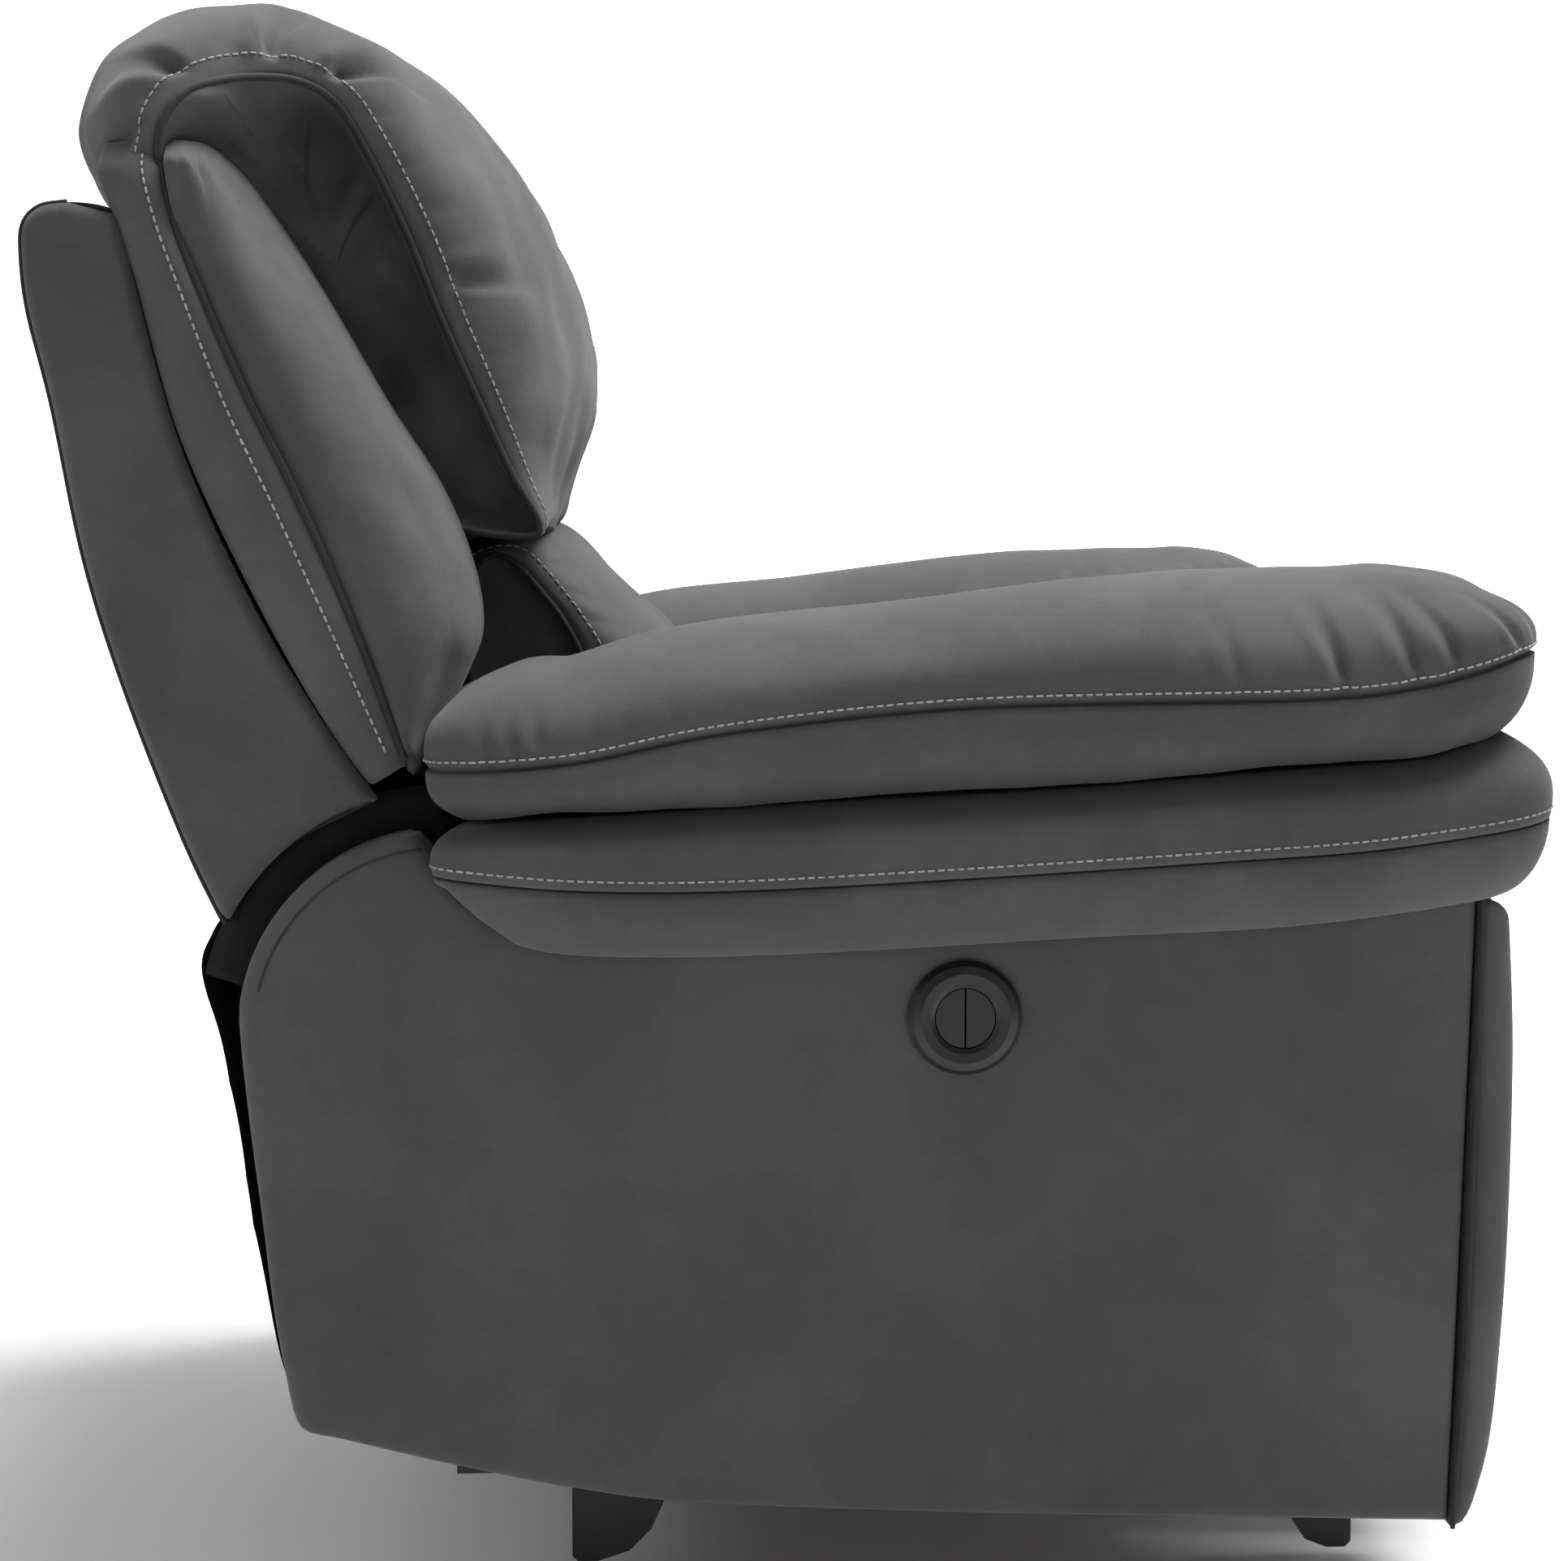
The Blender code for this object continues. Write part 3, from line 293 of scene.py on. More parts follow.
def suede(name, dark, middle, light):
    """The brushed cloth. Clouds of two sizes move the colour; a short pile gives the bump."""
    material, tree, shader = new_material(name, middle, 0.92)
    where = add_node(tree, "TexCoord").outputs["Object"]
    # clouds about 120 mm across, and mottling about 15 mm across inside them
    broad = add_node(tree, "TexNoise", links={"Vector": where},
                     values={"Scale": 8, "Detail": 2, "Roughness": 0.5, "Distortion": 0.4})
    small = add_node(tree, "TexNoise", links={"Vector": where},
                     values={"Scale": 65, "Detail": 4, "Roughness": 0.6})
    # the pile's own tufts are about 1 mm apart, drawn 1.5 mm so that they show
    pile = add_node(tree, "TexNoise", links={"Vector": where},
                    values={"Scale": 650, "Detail": 3, "Roughness": 0.7})
    mixed = add_node(tree, "Math", {"operation": "MULTIPLY_ADD"},
                     {0: small.outputs["Fac"], 2: broad.outputs["Fac"]}, {1: 0.45})
    mixed = add_node(tree, "Math", {"operation": "MULTIPLY_ADD"},
                     {0: pile.outputs["Fac"], 2: mixed.outputs[0]}, {1: 0.3})
    ramp = add_node(tree, "ValToRGB", links={"Fac": mixed.outputs[0]})
    ramp.color_ramp.elements[0].position = 0.66
    ramp.color_ramp.elements[0].color = (*linear(dark), 1)
    ramp.color_ramp.elements[1].position = 1.0
    ramp.color_ramp.elements[1].color = (*linear(light), 1)
    centre = ramp.color_ramp.elements.new(0.86)
    centre.color = (*linear(middle), 1)
    heights = add_node(tree, "Math", {"operation": "MULTIPLY_ADD"},
                       {0: small.outputs["Fac"], 2: pile.outputs["Fac"]}, {1: 1.5})
    bump = add_node(tree, "Bump", links={"Height": heights.outputs[0]},
                    values={"Distance": 0.0004, "Strength": 0.6})
    tree.links.new(ramp.outputs["Color"], shader.inputs["Base Color"])
    tree.links.new(bump.outputs["Normal"], shader.inputs["Normal"])
    shader.inputs["Specular IOR Level"].default_value = 0.15
    shader.inputs["Sheen Weight"].default_value = 0.25
    shader.inputs["Sheen Roughness"].default_value = 0.5
    shader.inputs["Sheen Tint"].default_value = (*linear("#b9b9b4"), 1)
    return material


suede_cloth = suede("brushed_suede_cloth", "#454547", "#4a4a49", "#4f4f4d")
# spun polyester sewing thread, pale grey, and the cloth's own dark thread
pale_thread = grainy("spun_polyester_thread", "#85857f", "#a3a39d", 0.8, 0.1, 0.75)
dark_piping = grainy("dark_piping_cloth", "#1d1d1d", "#2b2b2a", 0.9, 0.2, 0.85)
# felted fibre lining: black, and coloured nearly black so that it also paints the shade deep in the
# gaps it closes
black_lining_and_gap_shade = grainy("felted_lining_black_with_painted_gap_shade", "#060606", "#0c0c0c", 1.5, 0.3, 0.95)


def lumps(points, size, seed):
    """A smooth field of soft lumps about size across: sine waves in random directions."""
    rng = np.random.default_rng(seed)
    waves = rng.normal(size=(14, 3))
    waves *= (2 * np.pi / size) / np.linalg.norm(waves, axis=1)[:, None]
    return np.sin(points @ waves.T + rng.uniform(0, 2 * np.pi, 14)).sum(-1) / math.sqrt(14)


def ramped(value, start, end):
    """Smoothly from 0 at start to 1 at end."""
    t = np.clip((value - start) / (end - start), 0, 1)
    return t * t * (3 - 2 * t)


def creases(run, rise, place, strength, lean, reach, width=0.0036):
    """Depths from 0 to 1 of gathers at given places along a seam.

    run is the distance along the seam and rise the distance from it. With q counting its
    widths, a gather is a valley exp(-q^2), steeper on one side, with a low ridge on the
    other, as cloth that folds over. It starts above the topstitching, leans by a share of
    the rise, widens as it rises and dies out as exp(-(rise / reach)^2).
    """
    rise, run = rise[..., None], run[..., None]
    q = (run - place - lean * rise) / (width + 0.04 * np.abs(rise))
    q = np.where(q < 0, q / 0.6, q / 1.4)
    fold = np.exp(-q ** 2) - 0.35 * np.exp(-((q - 1.9) / 0.8) ** 2)
    dying = strength * fold * np.exp(-(rise / reach) ** 2)
    return dying.sum(-1) * ramped(rise[..., 0], 0.004, 0.022)


def pleats(run, rise, length, spacing, reach, seed):
    """The depths of gathers about 4 mm wide at random places, a spacing apart on average."""
    rng = np.random.default_rng(seed)
    count = max(int(length / spacing), 1)
    place = (np.arange(count) + rng.uniform(0.1, 0.9, count)) * length / count
    lean, strength = rng.uniform(-0.35, 0.35, count), rng.uniform(0.35, 1.0, count)
    far, width = rng.uniform(0.5, 1.3, count) * reach, rng.uniform(0.7, 1.3, count) * 0.0042
    return creases(run, rise, place, strength, lean, far, width)


def normals(grid):
    """The unit normal at each point of closed rings, pointing away from their middle."""
    across = np.roll(grid, -1, 1) - np.roll(grid, 1, 1)
    normal = np.cross(np.gradient(grid, axis=0), across)
    normal /= np.maximum(np.linalg.norm(normal, axis=-1, keepdims=True), 1e-9)
    outward = np.sum(normal * (grid - grid.reshape(-1, 3).mean(0)), -1)
    return normal * (1 if outward.mean() > 0 else -1)


def mirrored(grid, sign):
    """The grid for the left (+1) or right (-1) side, from one made for the left."""
    return grid * np.array([sign, 1, 1])


def stuffed(name, rings, material):
    """A closed piece from a stack of rings; both end rings are closed straight across."""
    rows, columns = rings.shape[:2]
    index = np.arange(rows * columns).reshape(rows, columns)
    faces = quads(np.hstack([index, index[:, :1]]))
    for ring, order in ((index[0], 1), (index[-1], -1)):
        near = ring[:columns // 2 + 1]
        far = np.r_[ring[:1], ring[:columns // 2 - 1:-1]]
        across = np.stack([near[:-1], far[:-1], far[1:], near[1:]], 1).tolist()
        faces += [list(dict.fromkeys(face))[::order] for face in across]
    return build(name, rings, faces, material)


def slab(name, face, back, material):
    """A closed flat piece from a front grid and a back grid that share their outline."""
    rows, columns = face.shape[:2]
    index = np.arange(rows * columns).reshape(rows, columns)
    behind = index.copy()
    inner = (rows - 2) * (columns - 2)
    behind[1:-1, 1:-1] = rows * columns + np.arange(inner).reshape(rows - 2, columns - 2)
    points = np.vstack([face.reshape(-1, 3), back[1:-1, 1:-1].reshape(-1, 3)])
    return build(name, points, quads(index) + quads(behind[:, ::-1]), material)


def axes(heading, normal):
    """Unit directions at each point of a line: along it, to its side and up."""
    heading = heading / np.linalg.norm(heading, axis=1, keepdims=True)
    side = np.cross(heading, normal)
    side /= np.linalg.norm(side, axis=1, keepdims=True)
    return heading, side, np.cross(side, heading)


def tube(name, path, normal, radius, material, closed=False):
    """A round cord along a line of points; normal is any direction square to it."""
    if closed:
        heading = np.roll(path, -1, 0) - np.roll(path, 1, 0)
    else:
        heading = np.gradient(path, axis=0)
    heading, side, up = axes(heading, normal)
    angle = np.linspace(0, 2 * np.pi, 10, endpoint=False)[None, :, None]
    rings = path[:, None] + radius * (np.cos(angle) * side[:, None] + np.sin(angle) * up[:, None])
    if not closed:
        return stuffed(name, rings, material)
    index = np.arange(rings.shape[0] * 10).reshape(-1, 10)
    index = np.vstack([index, index[:1]])
    return build(name, rings, quads(np.hstack([index, index[:, :1]])), material)


def stitches(name, path, normal, closed=False, pitch=0.0062):
    """A row of thread stitches, one small capsule each, half sunk along a line of points."""
    both = np.hstack([path, normal])
    length = np.linalg.norm(np.diff(path, axis=0), axis=1).sum()
    spots = evenly(both, int(length / pitch), closed)
    place, up = spots[:, :3], spots[:, 3:]
    heading, side, up = axes(np.gradient(place, axis=0), up)
    angle = np.linspace(0, 2 * np.pi, 6, endpoint=False)
    ends = np.array([(-0.0022, 0.0003), (-0.0016, 0.0007), (0.0016, 0.0007), (0.0022, 0.0003)])
    shape = (place[:, None, None] + heading[:, None, None] * ends[None, :, None, :1]
             + side[:, None, None] * (ends[:, 1:] * np.cos(angle))[None, :, :, None]
             + up[:, None, None] * (ends[:, 1:] * np.sin(angle) + 0.0003)[None, :, :, None])
    one = np.arange(24).reshape(4, 6)
    pattern = quads(np.hstack([one, one[:, :1]])) + [[5, 4, 3, 2, 1, 0], list(range(18, 24))]
    faces = [[corner + 24 * n for corner in face] for n in range(len(place)) for face in pattern]
    return build(name, shape, faces, pale_thread)


def level(grid, rise, height):
    """Where each column of a grid reaches a height, given each point's own height."""
    return np.array([[np.interp(height, rise[:, j], grid[:, j, k]) for k in range(3)]
                     for j in range(grid.shape[1])])


def at(curve, y):
    """The height of a side-view curve at y."""
    line = through(curve, 8)
    order = np.argsort(line[:, 0])
    return np.interp(y, line[order, 0], line[order, 1])


def rise_along(grid, row):
    """Distance from one row of a grid, measured up each column; negative before the row."""
    step = np.linalg.norm(np.diff(grid, axis=0), axis=-1)
    run = np.vstack([np.zeros((1, grid.shape[1])), np.cumsum(step, 0)])
    return run - run[row]


def run_along(line):
    """Distance along a closed line of points, at each point, and its whole length."""
    step = np.linalg.norm(np.roll(line, -1, 0) - line, axis=-1)
    return np.r_[0, np.cumsum(step)[:-1]], step.sum()


def from_seam(rings, row):
    """Distance along the seam in one row and its length, distance up from it, and normals."""
    return *run_along(rings[row]), rise_along(rings, row), normals(rings)


def topstitched(cover, thread, rings, rise, outward, height, sign=1):
    """A stuffed cover and the stitches at a height over its seam, on the side of the sign."""
    path, up = (mirrored(level(grid, rise, height), sign) for grid in (rings, outward))
    return (stuffed(cover, mirrored(rings, sign), suede_cloth),
            stitches(thread, path, up, closed=True))


def fitted(cover, body, stands_for=(), trims=()):
    """Fixes a stuffed cover and its trims to a body, in place of the plain solids."""
    for thing in (cover, *trims):
        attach(thing, body)
    if stands_for:
        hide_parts(*stands_for)


def piped(name, side, line, radius, closed=False):
    """Dark piping on the seam at one side, from the line of its left one."""
    outward = np.tile((SIDES[side], 0, 0), (len(line), 1))
    return tube(f"{name}_{side}", mirrored(line, SIDES[side]), outward, radius, dark_piping, closed)


# ---- arm pads
# The upper layer of each pillow arm: fibre over foam in a box cover, with a band below its
# seam. The crown is gathered into the seam, most at the two ends, and topstitched.

PAD_SEAM = [(0.2562, 0.553), (0.1664, 0.559), (0.0661, 0.578), (-0.0854, 0.593),
            (-0.2893, 0.597), (-0.3663, 0.6045), (-0.4356, 0.622), (-0.47, 0.629)]
CREASE = [(0.2526, 0.52), (0.1666, 0.5246), (0.0139, 0.533), (-0.14, 0.542),
          (-0.295, 0.552), (-0.3735, 0.559), (-0.4255, 0.569), (-0.47, 0.578)]
PAD_CREST = [(0.1665, 0.6225), (0.087, 0.64), (-0.0435, 0.659), (-0.1495, 0.669),
             (-0.255, 0.678), (-0.3615, 0.6786)]


def plan_ring(low, high, front_corner, rear_corner, count):
    """A rectangle with round corners seen from above, from its front middle round."""
    (x0, y0), (x1, y1) = low, high
    middle = (x0 + x1) / 2
    turn = np.radians(np.linspace(0, 90, 16))
    front = np.stack([x1 - front_corner * (1 - np.sin(turn)),
                      y0 + front_corner * (1 - np.cos(turn))], 1)
    rear = np.stack([x1 - rear_corner * (1 - np.cos(turn)),
                     y1 - rear_corner * (1 - np.sin(turn))], 1)
    half = np.vstack([[(middle, y0)], front, rear, [(middle, y1)]])
    half = evenly(half, count // 2 + 1)
    other = half[-2:0:-1] * (-1, 1) + (2 * middle, 0)
    return np.vstack([half, other])


def tiers(ring, spine, *layers):
    """Rings between an outline and its spine, from layers of fraction, inset and height.

    Each ring goes a fraction of the way in, less or more by an inset in metres, and lies
    at its own heights: point = ring + (spine - ring) * (fraction + inset / distance).
    """
    inward = spine - ring
    distance = np.linalg.norm(inward, axis=1)
    rings = []
    for fraction, inset, height in layers:
        share = np.reshape(fraction, (-1, 1)) + np.reshape(inset, (-1, 1)) / distance
        flat = ring + inward * share[..., None]
        height = np.broadcast_to(height, share.shape)
        rings.append(np.concatenate([flat, height[..., None]], -1))
    return np.concatenate(rings)


def dome(count, power):
    """How far in and how high the rings of a superelliptic crown lie, from rim to top.

    With r the share of the way out, the height is (1 - r^power)^(1/power). The rings lie
    closest together at the rim, and eight more of them fill the flat middle.
    """
    angle = np.radians(np.linspace(3, 87, count - 8))
    out = np.cos(angle) ** (2 / power)
    out = np.r_[out, np.linspace(out[-1], 0.015, 9)[1:]]
    return 1 - out, (1 - out ** power) ** (1 / power)


pad_ring = plan_ring((0.2615, -0.455), (0.4985, 0.2562), 0.07, 0.045, 640)
pad_spine = np.stack([np.full(640, 0.38), np.clip(pad_ring[:, 1], -0.35, 0.168)], 1)
seam_z = at(PAD_SEAM, pad_ring[:, 1])
crease_z = at(CREASE, pad_ring[:, 1])
crest_z = at(PAD_CREST, pad_spine[:, 1])
band = np.linspace(0, 1, 12)[:, None]
going_in, going_up = dome(44, 2.25)
pad_rings = tiers(
    pad_ring, pad_spine, ([0.9, 0.55, 0.3], 0, crease_z + 0.001),
    (0, 0.028 * (1 - band) ** 3, crease_z + 0.0015 + (seam_z - crease_z - 0.0015) * band),
    (0, 0.005, seam_z + 0.0008),
    (going_in, -0.003 * np.exp(-((going_up - 0.35) / 0.25) ** 2),
     seam_z + 0.0016 + (crest_z - seam_z - 0.0016) * going_up[:, None]))
run, whole, rise, outward = from_seam(pad_rings, 15)
ends = ramped(-pad_ring[:, 1], 0.24, 0.42) + 0.8 * ramped(pad_ring[:, 1], 0.12, 0.22)
gather = (0.0006 + 0.0016 * ends) * pleats(run, rise, whole, 0.021, 0.035, 3)
# the deepest gathers: five behind each front corner and three by each rear one
place = np.interp((-0.436, -0.393, -0.367, -0.322, -0.257, 0.178, 0.195, 0.212),
                  pad_ring[:321, 1], run[:321])
depth = np.array([0.006, 0.0065, 0.008, 0.0085, 0.0035, 0.0035, 0.0045, 0.0035])
reach = np.array([0.04, 0.05, 0.052, 0.055, 0.045, 0.026, 0.03, 0.026])
gather += creases(run, rise, place, depth, 0.22, reach)
gather += creases(run, rise, whole - place, 0.7 * depth, -0.22, reach)
soft = 0.0018 * lumps(pad_rings, 0.24, 7) + 0.0009 * (0.3 + ends) * lumps(pad_rings, 0.06, 8)
pad_rings = pad_rings + outward * ((soft * ramped(np.abs(rise), 0.004, 0.05)) - gather)[..., None]
for side, sign in SIDES.items():
    pad, thread = topstitched(f"arm_pad_cover_{side}", f"arm_pad_stitches_{side}", pad_rings,
                              rise, outward, 0.009, sign)
    fitted(pad, "root", [f"arm_pad_{side}"], [thread])


# ---- arm rolls
# The lower layer of each pillow arm: a firmer roll that hangs over the side panel, sewn
# near its lower edge and topstitched above that seam.

ROLL_SEAM = [(0.2491, 0.489), (0.1668, 0.481), (0.0664, 0.48), (-0.0853, 0.487),
             (-0.2382, 0.496), (-0.3409, 0.503), (-0.4465, 0.518), (-0.47, 0.522)]
UNDERSIDE = [(0.2458, 0.4795), (0.235, 0.466), (0.223, 0.456), (0.1925, 0.4405),
             (0.1415, 0.435), (0.0135, 0.436), (-0.1425, 0.443), (-0.2988, 0.452),
             (-0.43, 0.466), (-0.47, 0.471)]
roll_ring = plan_ring((0.263, -0.4615), (0.4995, 0.251), 0.05, 0.02, 460)
roll_spine = np.stack([np.full(460, 0.381), np.clip(roll_ring[:, 1], -0.38, 0.2)], 1)
low_z, seam_z, high_z = (at(curve, roll_ring[:, 1]) for curve in (UNDERSIDE, ROLL_SEAM, CREASE))
turn = np.radians(np.linspace(0, 90, 14))
up = np.linspace(0, 1, 18)
roll_rings = tiers(
    roll_ring, roll_spine, ([0.9, 0.6], 0, low_z + 0.002),
    (0, 0.042 * (1 - np.sin(turn)), low_z + (seam_z - low_z) * (1 - np.cos(turn))[:, None]),
    (0, 0.0045, seam_z + 0.0008),
    (0, 0.036 * up ** 3.5 - 0.0035 * np.sin(np.pi * up) ** 0.8,
     seam_z + 0.0016 + (high_z - 0.003 - seam_z) * up[:, None]),
    ([0.45, 0.9], 0, high_z - 0.002))
run, whole, rise, outward = from_seam(roll_rings, 16)
ends = ramped(-roll_ring[:, 1], 0.3, 0.44)
gather = (0.0004 + 0.0012 * ends) * pleats(run, rise, whole, 0.03, 0.02, 13)
soft = 0.0011 * lumps(roll_rings, 0.2, 17) * ramped(np.abs(rise), 0.003, 0.03)
roll_rings = roll_rings + outward * (soft - gather)[..., None]
for side, sign in SIDES.items():
    roll, thread = topstitched(f"arm_roll_cover_{side}", f"arm_roll_stitches_{side}",
                               roll_rings, rise, outward, 0.011, sign)
    fitted(roll, "root", [f"arm_roll_{side}"], [thread])


# ---- side panels
# Cloth over thin foam on the arm's plywood side, stapled underneath. Its rear top corner
# is a quarter circle about the recline hinge; a seam joins it to the front border.

PIVOT = np.array([0.247, 0.386])


def arc_points(radius, start, end, count):
    """Points (y, z) on a circle about the recline hinge, between angles above +Y."""
    angle = np.radians(np.linspace(start, end, count))
    return np.stack([PIVOT[0] + radius * np.cos(angle), PIVOT[1] + radius * np.sin(angle)], 1)


def between(first, second, rows):
    """A grid of points on the straight rungs from one curve to another."""
    t = np.linspace(0, 1, rows)[:, None, None]
    return first * (1 - t) + second * t


def edge_distance(flat):
    """How far each point of a flat grid is from the grid's own outline."""
    outline = np.vstack([flat[0], flat[1:-1, -1], flat[-1, ::-1], flat[-2:0:-1, 0]])
    side = np.roll(outline, -1, 0) - outline
    length = np.maximum((side ** 2).sum(1), 1e-12)
    points = flat.reshape(-1, 1, 2)
    t = np.clip(((points - outline) * side).sum(-1) / length, 0, 1)
    return np.sqrt(((points - outline - side * t[..., None]) ** 2).sum(-1)).min(1).reshape(
        flat.shape[:2])


def quilt(flat, radius, wave, seed):
    """Depth of a padded panel's face over its board, from 0 at its outline to 1.

    The edge is a quarter circle of the radius; soft lumps, as a share wave of the depth,
    fade in over 50 mm.
    """
    distance = edge_distance(flat)
    roll = np.sqrt(np.clip(1 - (1 - np.clip(distance / radius, 0, 1)) ** 2, 0, 1))
    place = np.concatenate([flat, 0 * flat[..., :1]], -1)
    bulge = 0.7 * lumps(place, 0.34, seed) + 0.3 * lumps(place, 0.11, seed + 1)
    return roll + wave * bulge * ramped(distance, 0, 0.06)


def sideways(flat, x):
    """A flat grid of (y, z) points stood up at x."""
    x = np.broadcast_to(np.asarray(x)[..., None], flat.shape[:2] + (1,))
    return np.concatenate([x, flat], -1)


def upright(name, side, flat, x, swell, material=suede_cloth):
    """A panel stood up at x on one side, whose face stands off its back by a swell."""
    face, back = sideways(flat, x + swell), sideways(flat, x + 0 * swell)
    sign = SIDES[side]
    return slab(f"{name}_{side}", mirrored(face, sign), mirrored(back, sign), material)


tucked = [(y, z + 0.012) for y, z in UNDERSIDE[-3:2:-1]] + [(0.238, 0.484), (0.252, 0.506)]
top = evenly(np.vstack([through([(-0.4195, 0.478)] + tucked, 12),
                        arc_points(0.1295, 84, 8, 40)]), 170)
bottom = along([(-0.407, 0.0556), (-0.2518, 0.0608), (-0.0663, 0.0676), (0.091, 0.077),
                (0.1665, 0.088), (0.2467, 0.1055), (0.3135, 0.1225), (0.335, 0.1275),
                (0.343, 0.137), (0.349, 0.165), (0.356, 0.2075), (0.3629, 0.27),
                (0.369, 0.322), (0.3745, 0.3795), (0.3752, 0.4)], 170)
flat = between(bottom, top, 90)
depth = quilt(flat, 0.012, 0.14, 5)
arch = arc_points(0.1185, 14, 84, 40)
SWITCH_CENTRE = (-0.085, 0.394)
SWITCH_HOLE_RADIUS = 0.0291


def bored(thing, centre, radius):
    """Cuts a round hole along X through a piece, at a (y, z) point."""
    drill = bmesh.new()
    bmesh.ops.create_cone(drill, cap_ends=True, segments=64, radius1=radius, radius2=radius,
                          depth=0.2)
    bmesh.ops.rotate(drill, verts=drill.verts, matrix=Matrix.Rotation(math.pi / 2, 3, "Y"))
    bmesh.ops.translate(drill, verts=drill.verts, vec=(-0.45, *centre))
    mesh = bpy.data.meshes.new("drill")
    drill.to_mesh(mesh)
    drill.free()
    cutter = bpy.data.objects.new("drill", mesh)
    bpy.context.scene.collection.objects.link(cutter)
    hole = thing.modifiers.new("switch_hole", "BOOLEAN")
    hole.operation, hole.solver, hole.object = "DIFFERENCE", "EXACT", cutter
    state = bpy.context.evaluated_depsgraph_get()
    thing.data = bpy.data.meshes.new_from_object(thing.evaluated_get(state))
    thing.modifiers.clear()
    bpy.data.objects.remove(cutter)


for side in SIDES:
    panel = upright("side_panel_cover", side, flat, 0.4415, 0.014 * depth)
    if side == "right":
        bored(panel, SWITCH_CENTRE, SWITCH_HOLE_RADIUS)
    piping = piped("arm_corner_seam", side, sideways(arch[None], 0.4553)[0], 0.0009)
    fitted(panel, "root", [f"side_panel_{side}"], [piping])


# ---- front borders
# The padded front of each arm, from the floor edge up under the roll. Its cloth turns the
# corner to the side panel's seam, which is piped in dark cloth.

front_y = [(0.05, -0.4192), (0.105, -0.4344), (0.175, -0.4412), (0.256, -0.4451),
           (0.363, -0.4463), (0.443, -0.4426), (0.468, -0.44)]
height = np.linspace(0.054, 0.468, 110)
across = np.linspace(0.275, 0.4545, 60)
flat = np.stack(np.meshgrid(height, across, indexing="ij")[::-1], -1)
depth = quilt(flat, 0.02, 0.05, 25)
base_y = np.interp(height, (0.054, 0.17, 0.468), (-0.4065, -0.4135, -0.4195))[:, None]
face_y = at(front_y, height)[:, None]
border = np.stack([flat[..., 0], base_y + (face_y - base_y) * depth, flat[..., 1]], -1)
inside = np.stack([flat[..., 0], np.broadcast_to(base_y, depth.shape), flat[..., 1]], -1)
seam = np.stack([np.full(110, 0.4548), base_y[:, 0] - 0.0003, height], 1)
for side, sign in SIDES.items():
    front = slab(f"arm_front_cover_{side}", mirrored(border, sign), mirrored(inside, sign),
                 suede_cloth)
    piping = piped("arm_front_piping", side, seam, 0.0017)
    fitted(front, "root", [f"arm_front_{side}"], [piping])


# ---- inner arm panels
# Cloth over thin foam on the inner arm board, beside the seat. It stops under the roll, and
# a black fibre lining closes the gap between arm and back behind it, coloured nearly black
# so that it also paints the gap's shade.

top = along([(-0.41, 0.55), (-0.1, 0.53), (0.1, 0.52), (0.245, 0.505),
             (0.295, 0.488)], 100)
bottom = along([(-0.41, 0.3), (0, 0.3), (0.33, 0.3)], 100)
flat = between(bottom, top, 40)
depth = quilt(flat, 0.008, 0.1, 35)
sector = between(arc_points(0.1, 10, 92, 40), arc_points(0.156, 13, 90, 40), 6)
for side in SIDES:
    inner = upright("inner_arm_cover", side, flat, 0.272, -0.0065 * depth)
    lining = upright("gap_lining", side, sector, 0.4175, np.full((6, 40), 0.002), black_lining_and_gap_shade)
    fitted(inner, "root", trims=[lining])


# ---- arm rears and seat front
# Cloth over the boards' rear edges, from the floor edge up round the corner; a narrow
# padded border hides the seat's front rail, and the inner boards are covered flat.

def carried(line, across):
    """A side-view line of (y, z) points carried straight across the chair, as a grid."""
    return np.stack(np.broadcast_arrays(across[None], line[:, :1], line[:, 1:]), -1).copy()


paint(suede_cloth, "arm_inner_board_left", "arm_inner_board_right")
heel = [(0.33, 0.129), (0.3425, 0.14), (0.3484, 0.165), (0.3554, 0.2075), (0.3623, 0.27),
        (0.3679, 0.322), (0.3732, 0.3795)]
outer = evenly(np.vstack([through(heel, 10), arc_points(0.129, 3, 82, 40)]), 120)
inner = evenly(np.vstack([through(np.array(heel) - (0.0034, 0.0), 10),
                          arc_points(0.126, 3, 82, 40)]), 120)
spread = np.linspace(0.27, 0.4425, 40)
for side, sign in SIDES.items():
    heel_cover = slab(f"arm_rear_cover_{side}", mirrored(carried(outer, spread), sign),
                      mirrored(carried(inner, spread), sign), suede_cloth)
    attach(heel_cover, "root")
flat = np.stack(np.meshgrid(np.linspace(0.345, 0.3768, 14), np.linspace(-0.2715, 0.2715, 120),
                            indexing="ij")[::-1], -1)
depth = quilt(flat, 0.008, 0.1, 39)
face = np.stack([flat[..., 0], -0.4035 - 0.008 * depth, flat[..., 1]], -1)
back = np.stack([flat[..., 0], 0 * depth - 0.4035, flat[..., 1]], -1)
fitted(slab("seat_front_border", face, back, suede_cloth), "root")

# the lining behind the seat bows round the hinge, inside the back's path; its near-black
# colour is partly painted shade of the recess under the back
line = evenly(np.vstack([through([(0.1935, 0.372), (0.193, 0.43), (0.196, 0.49)], 10),
                         arc_points(0.124, 112, 30, 40)]), 70)
thin = evenly(np.vstack([through([(0.1955, 0.372), (0.195, 0.43), (0.1975, 0.488)], 10),
                         arc_points(0.122, 112, 30, 40)]), 70)
spread = np.linspace(-0.232, 0.232, 40)
flap = slab("seat_rear_lining", carried(line, spread), carried(thin, spread), black_lining_and_gap_shade)
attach(flap, "root")


# ---- seat cushion
# Crowned foam in a box cover. Its seam runs round the front at two thirds of its height,
# with the same topstitching; the front edge is firm and nearly upright.

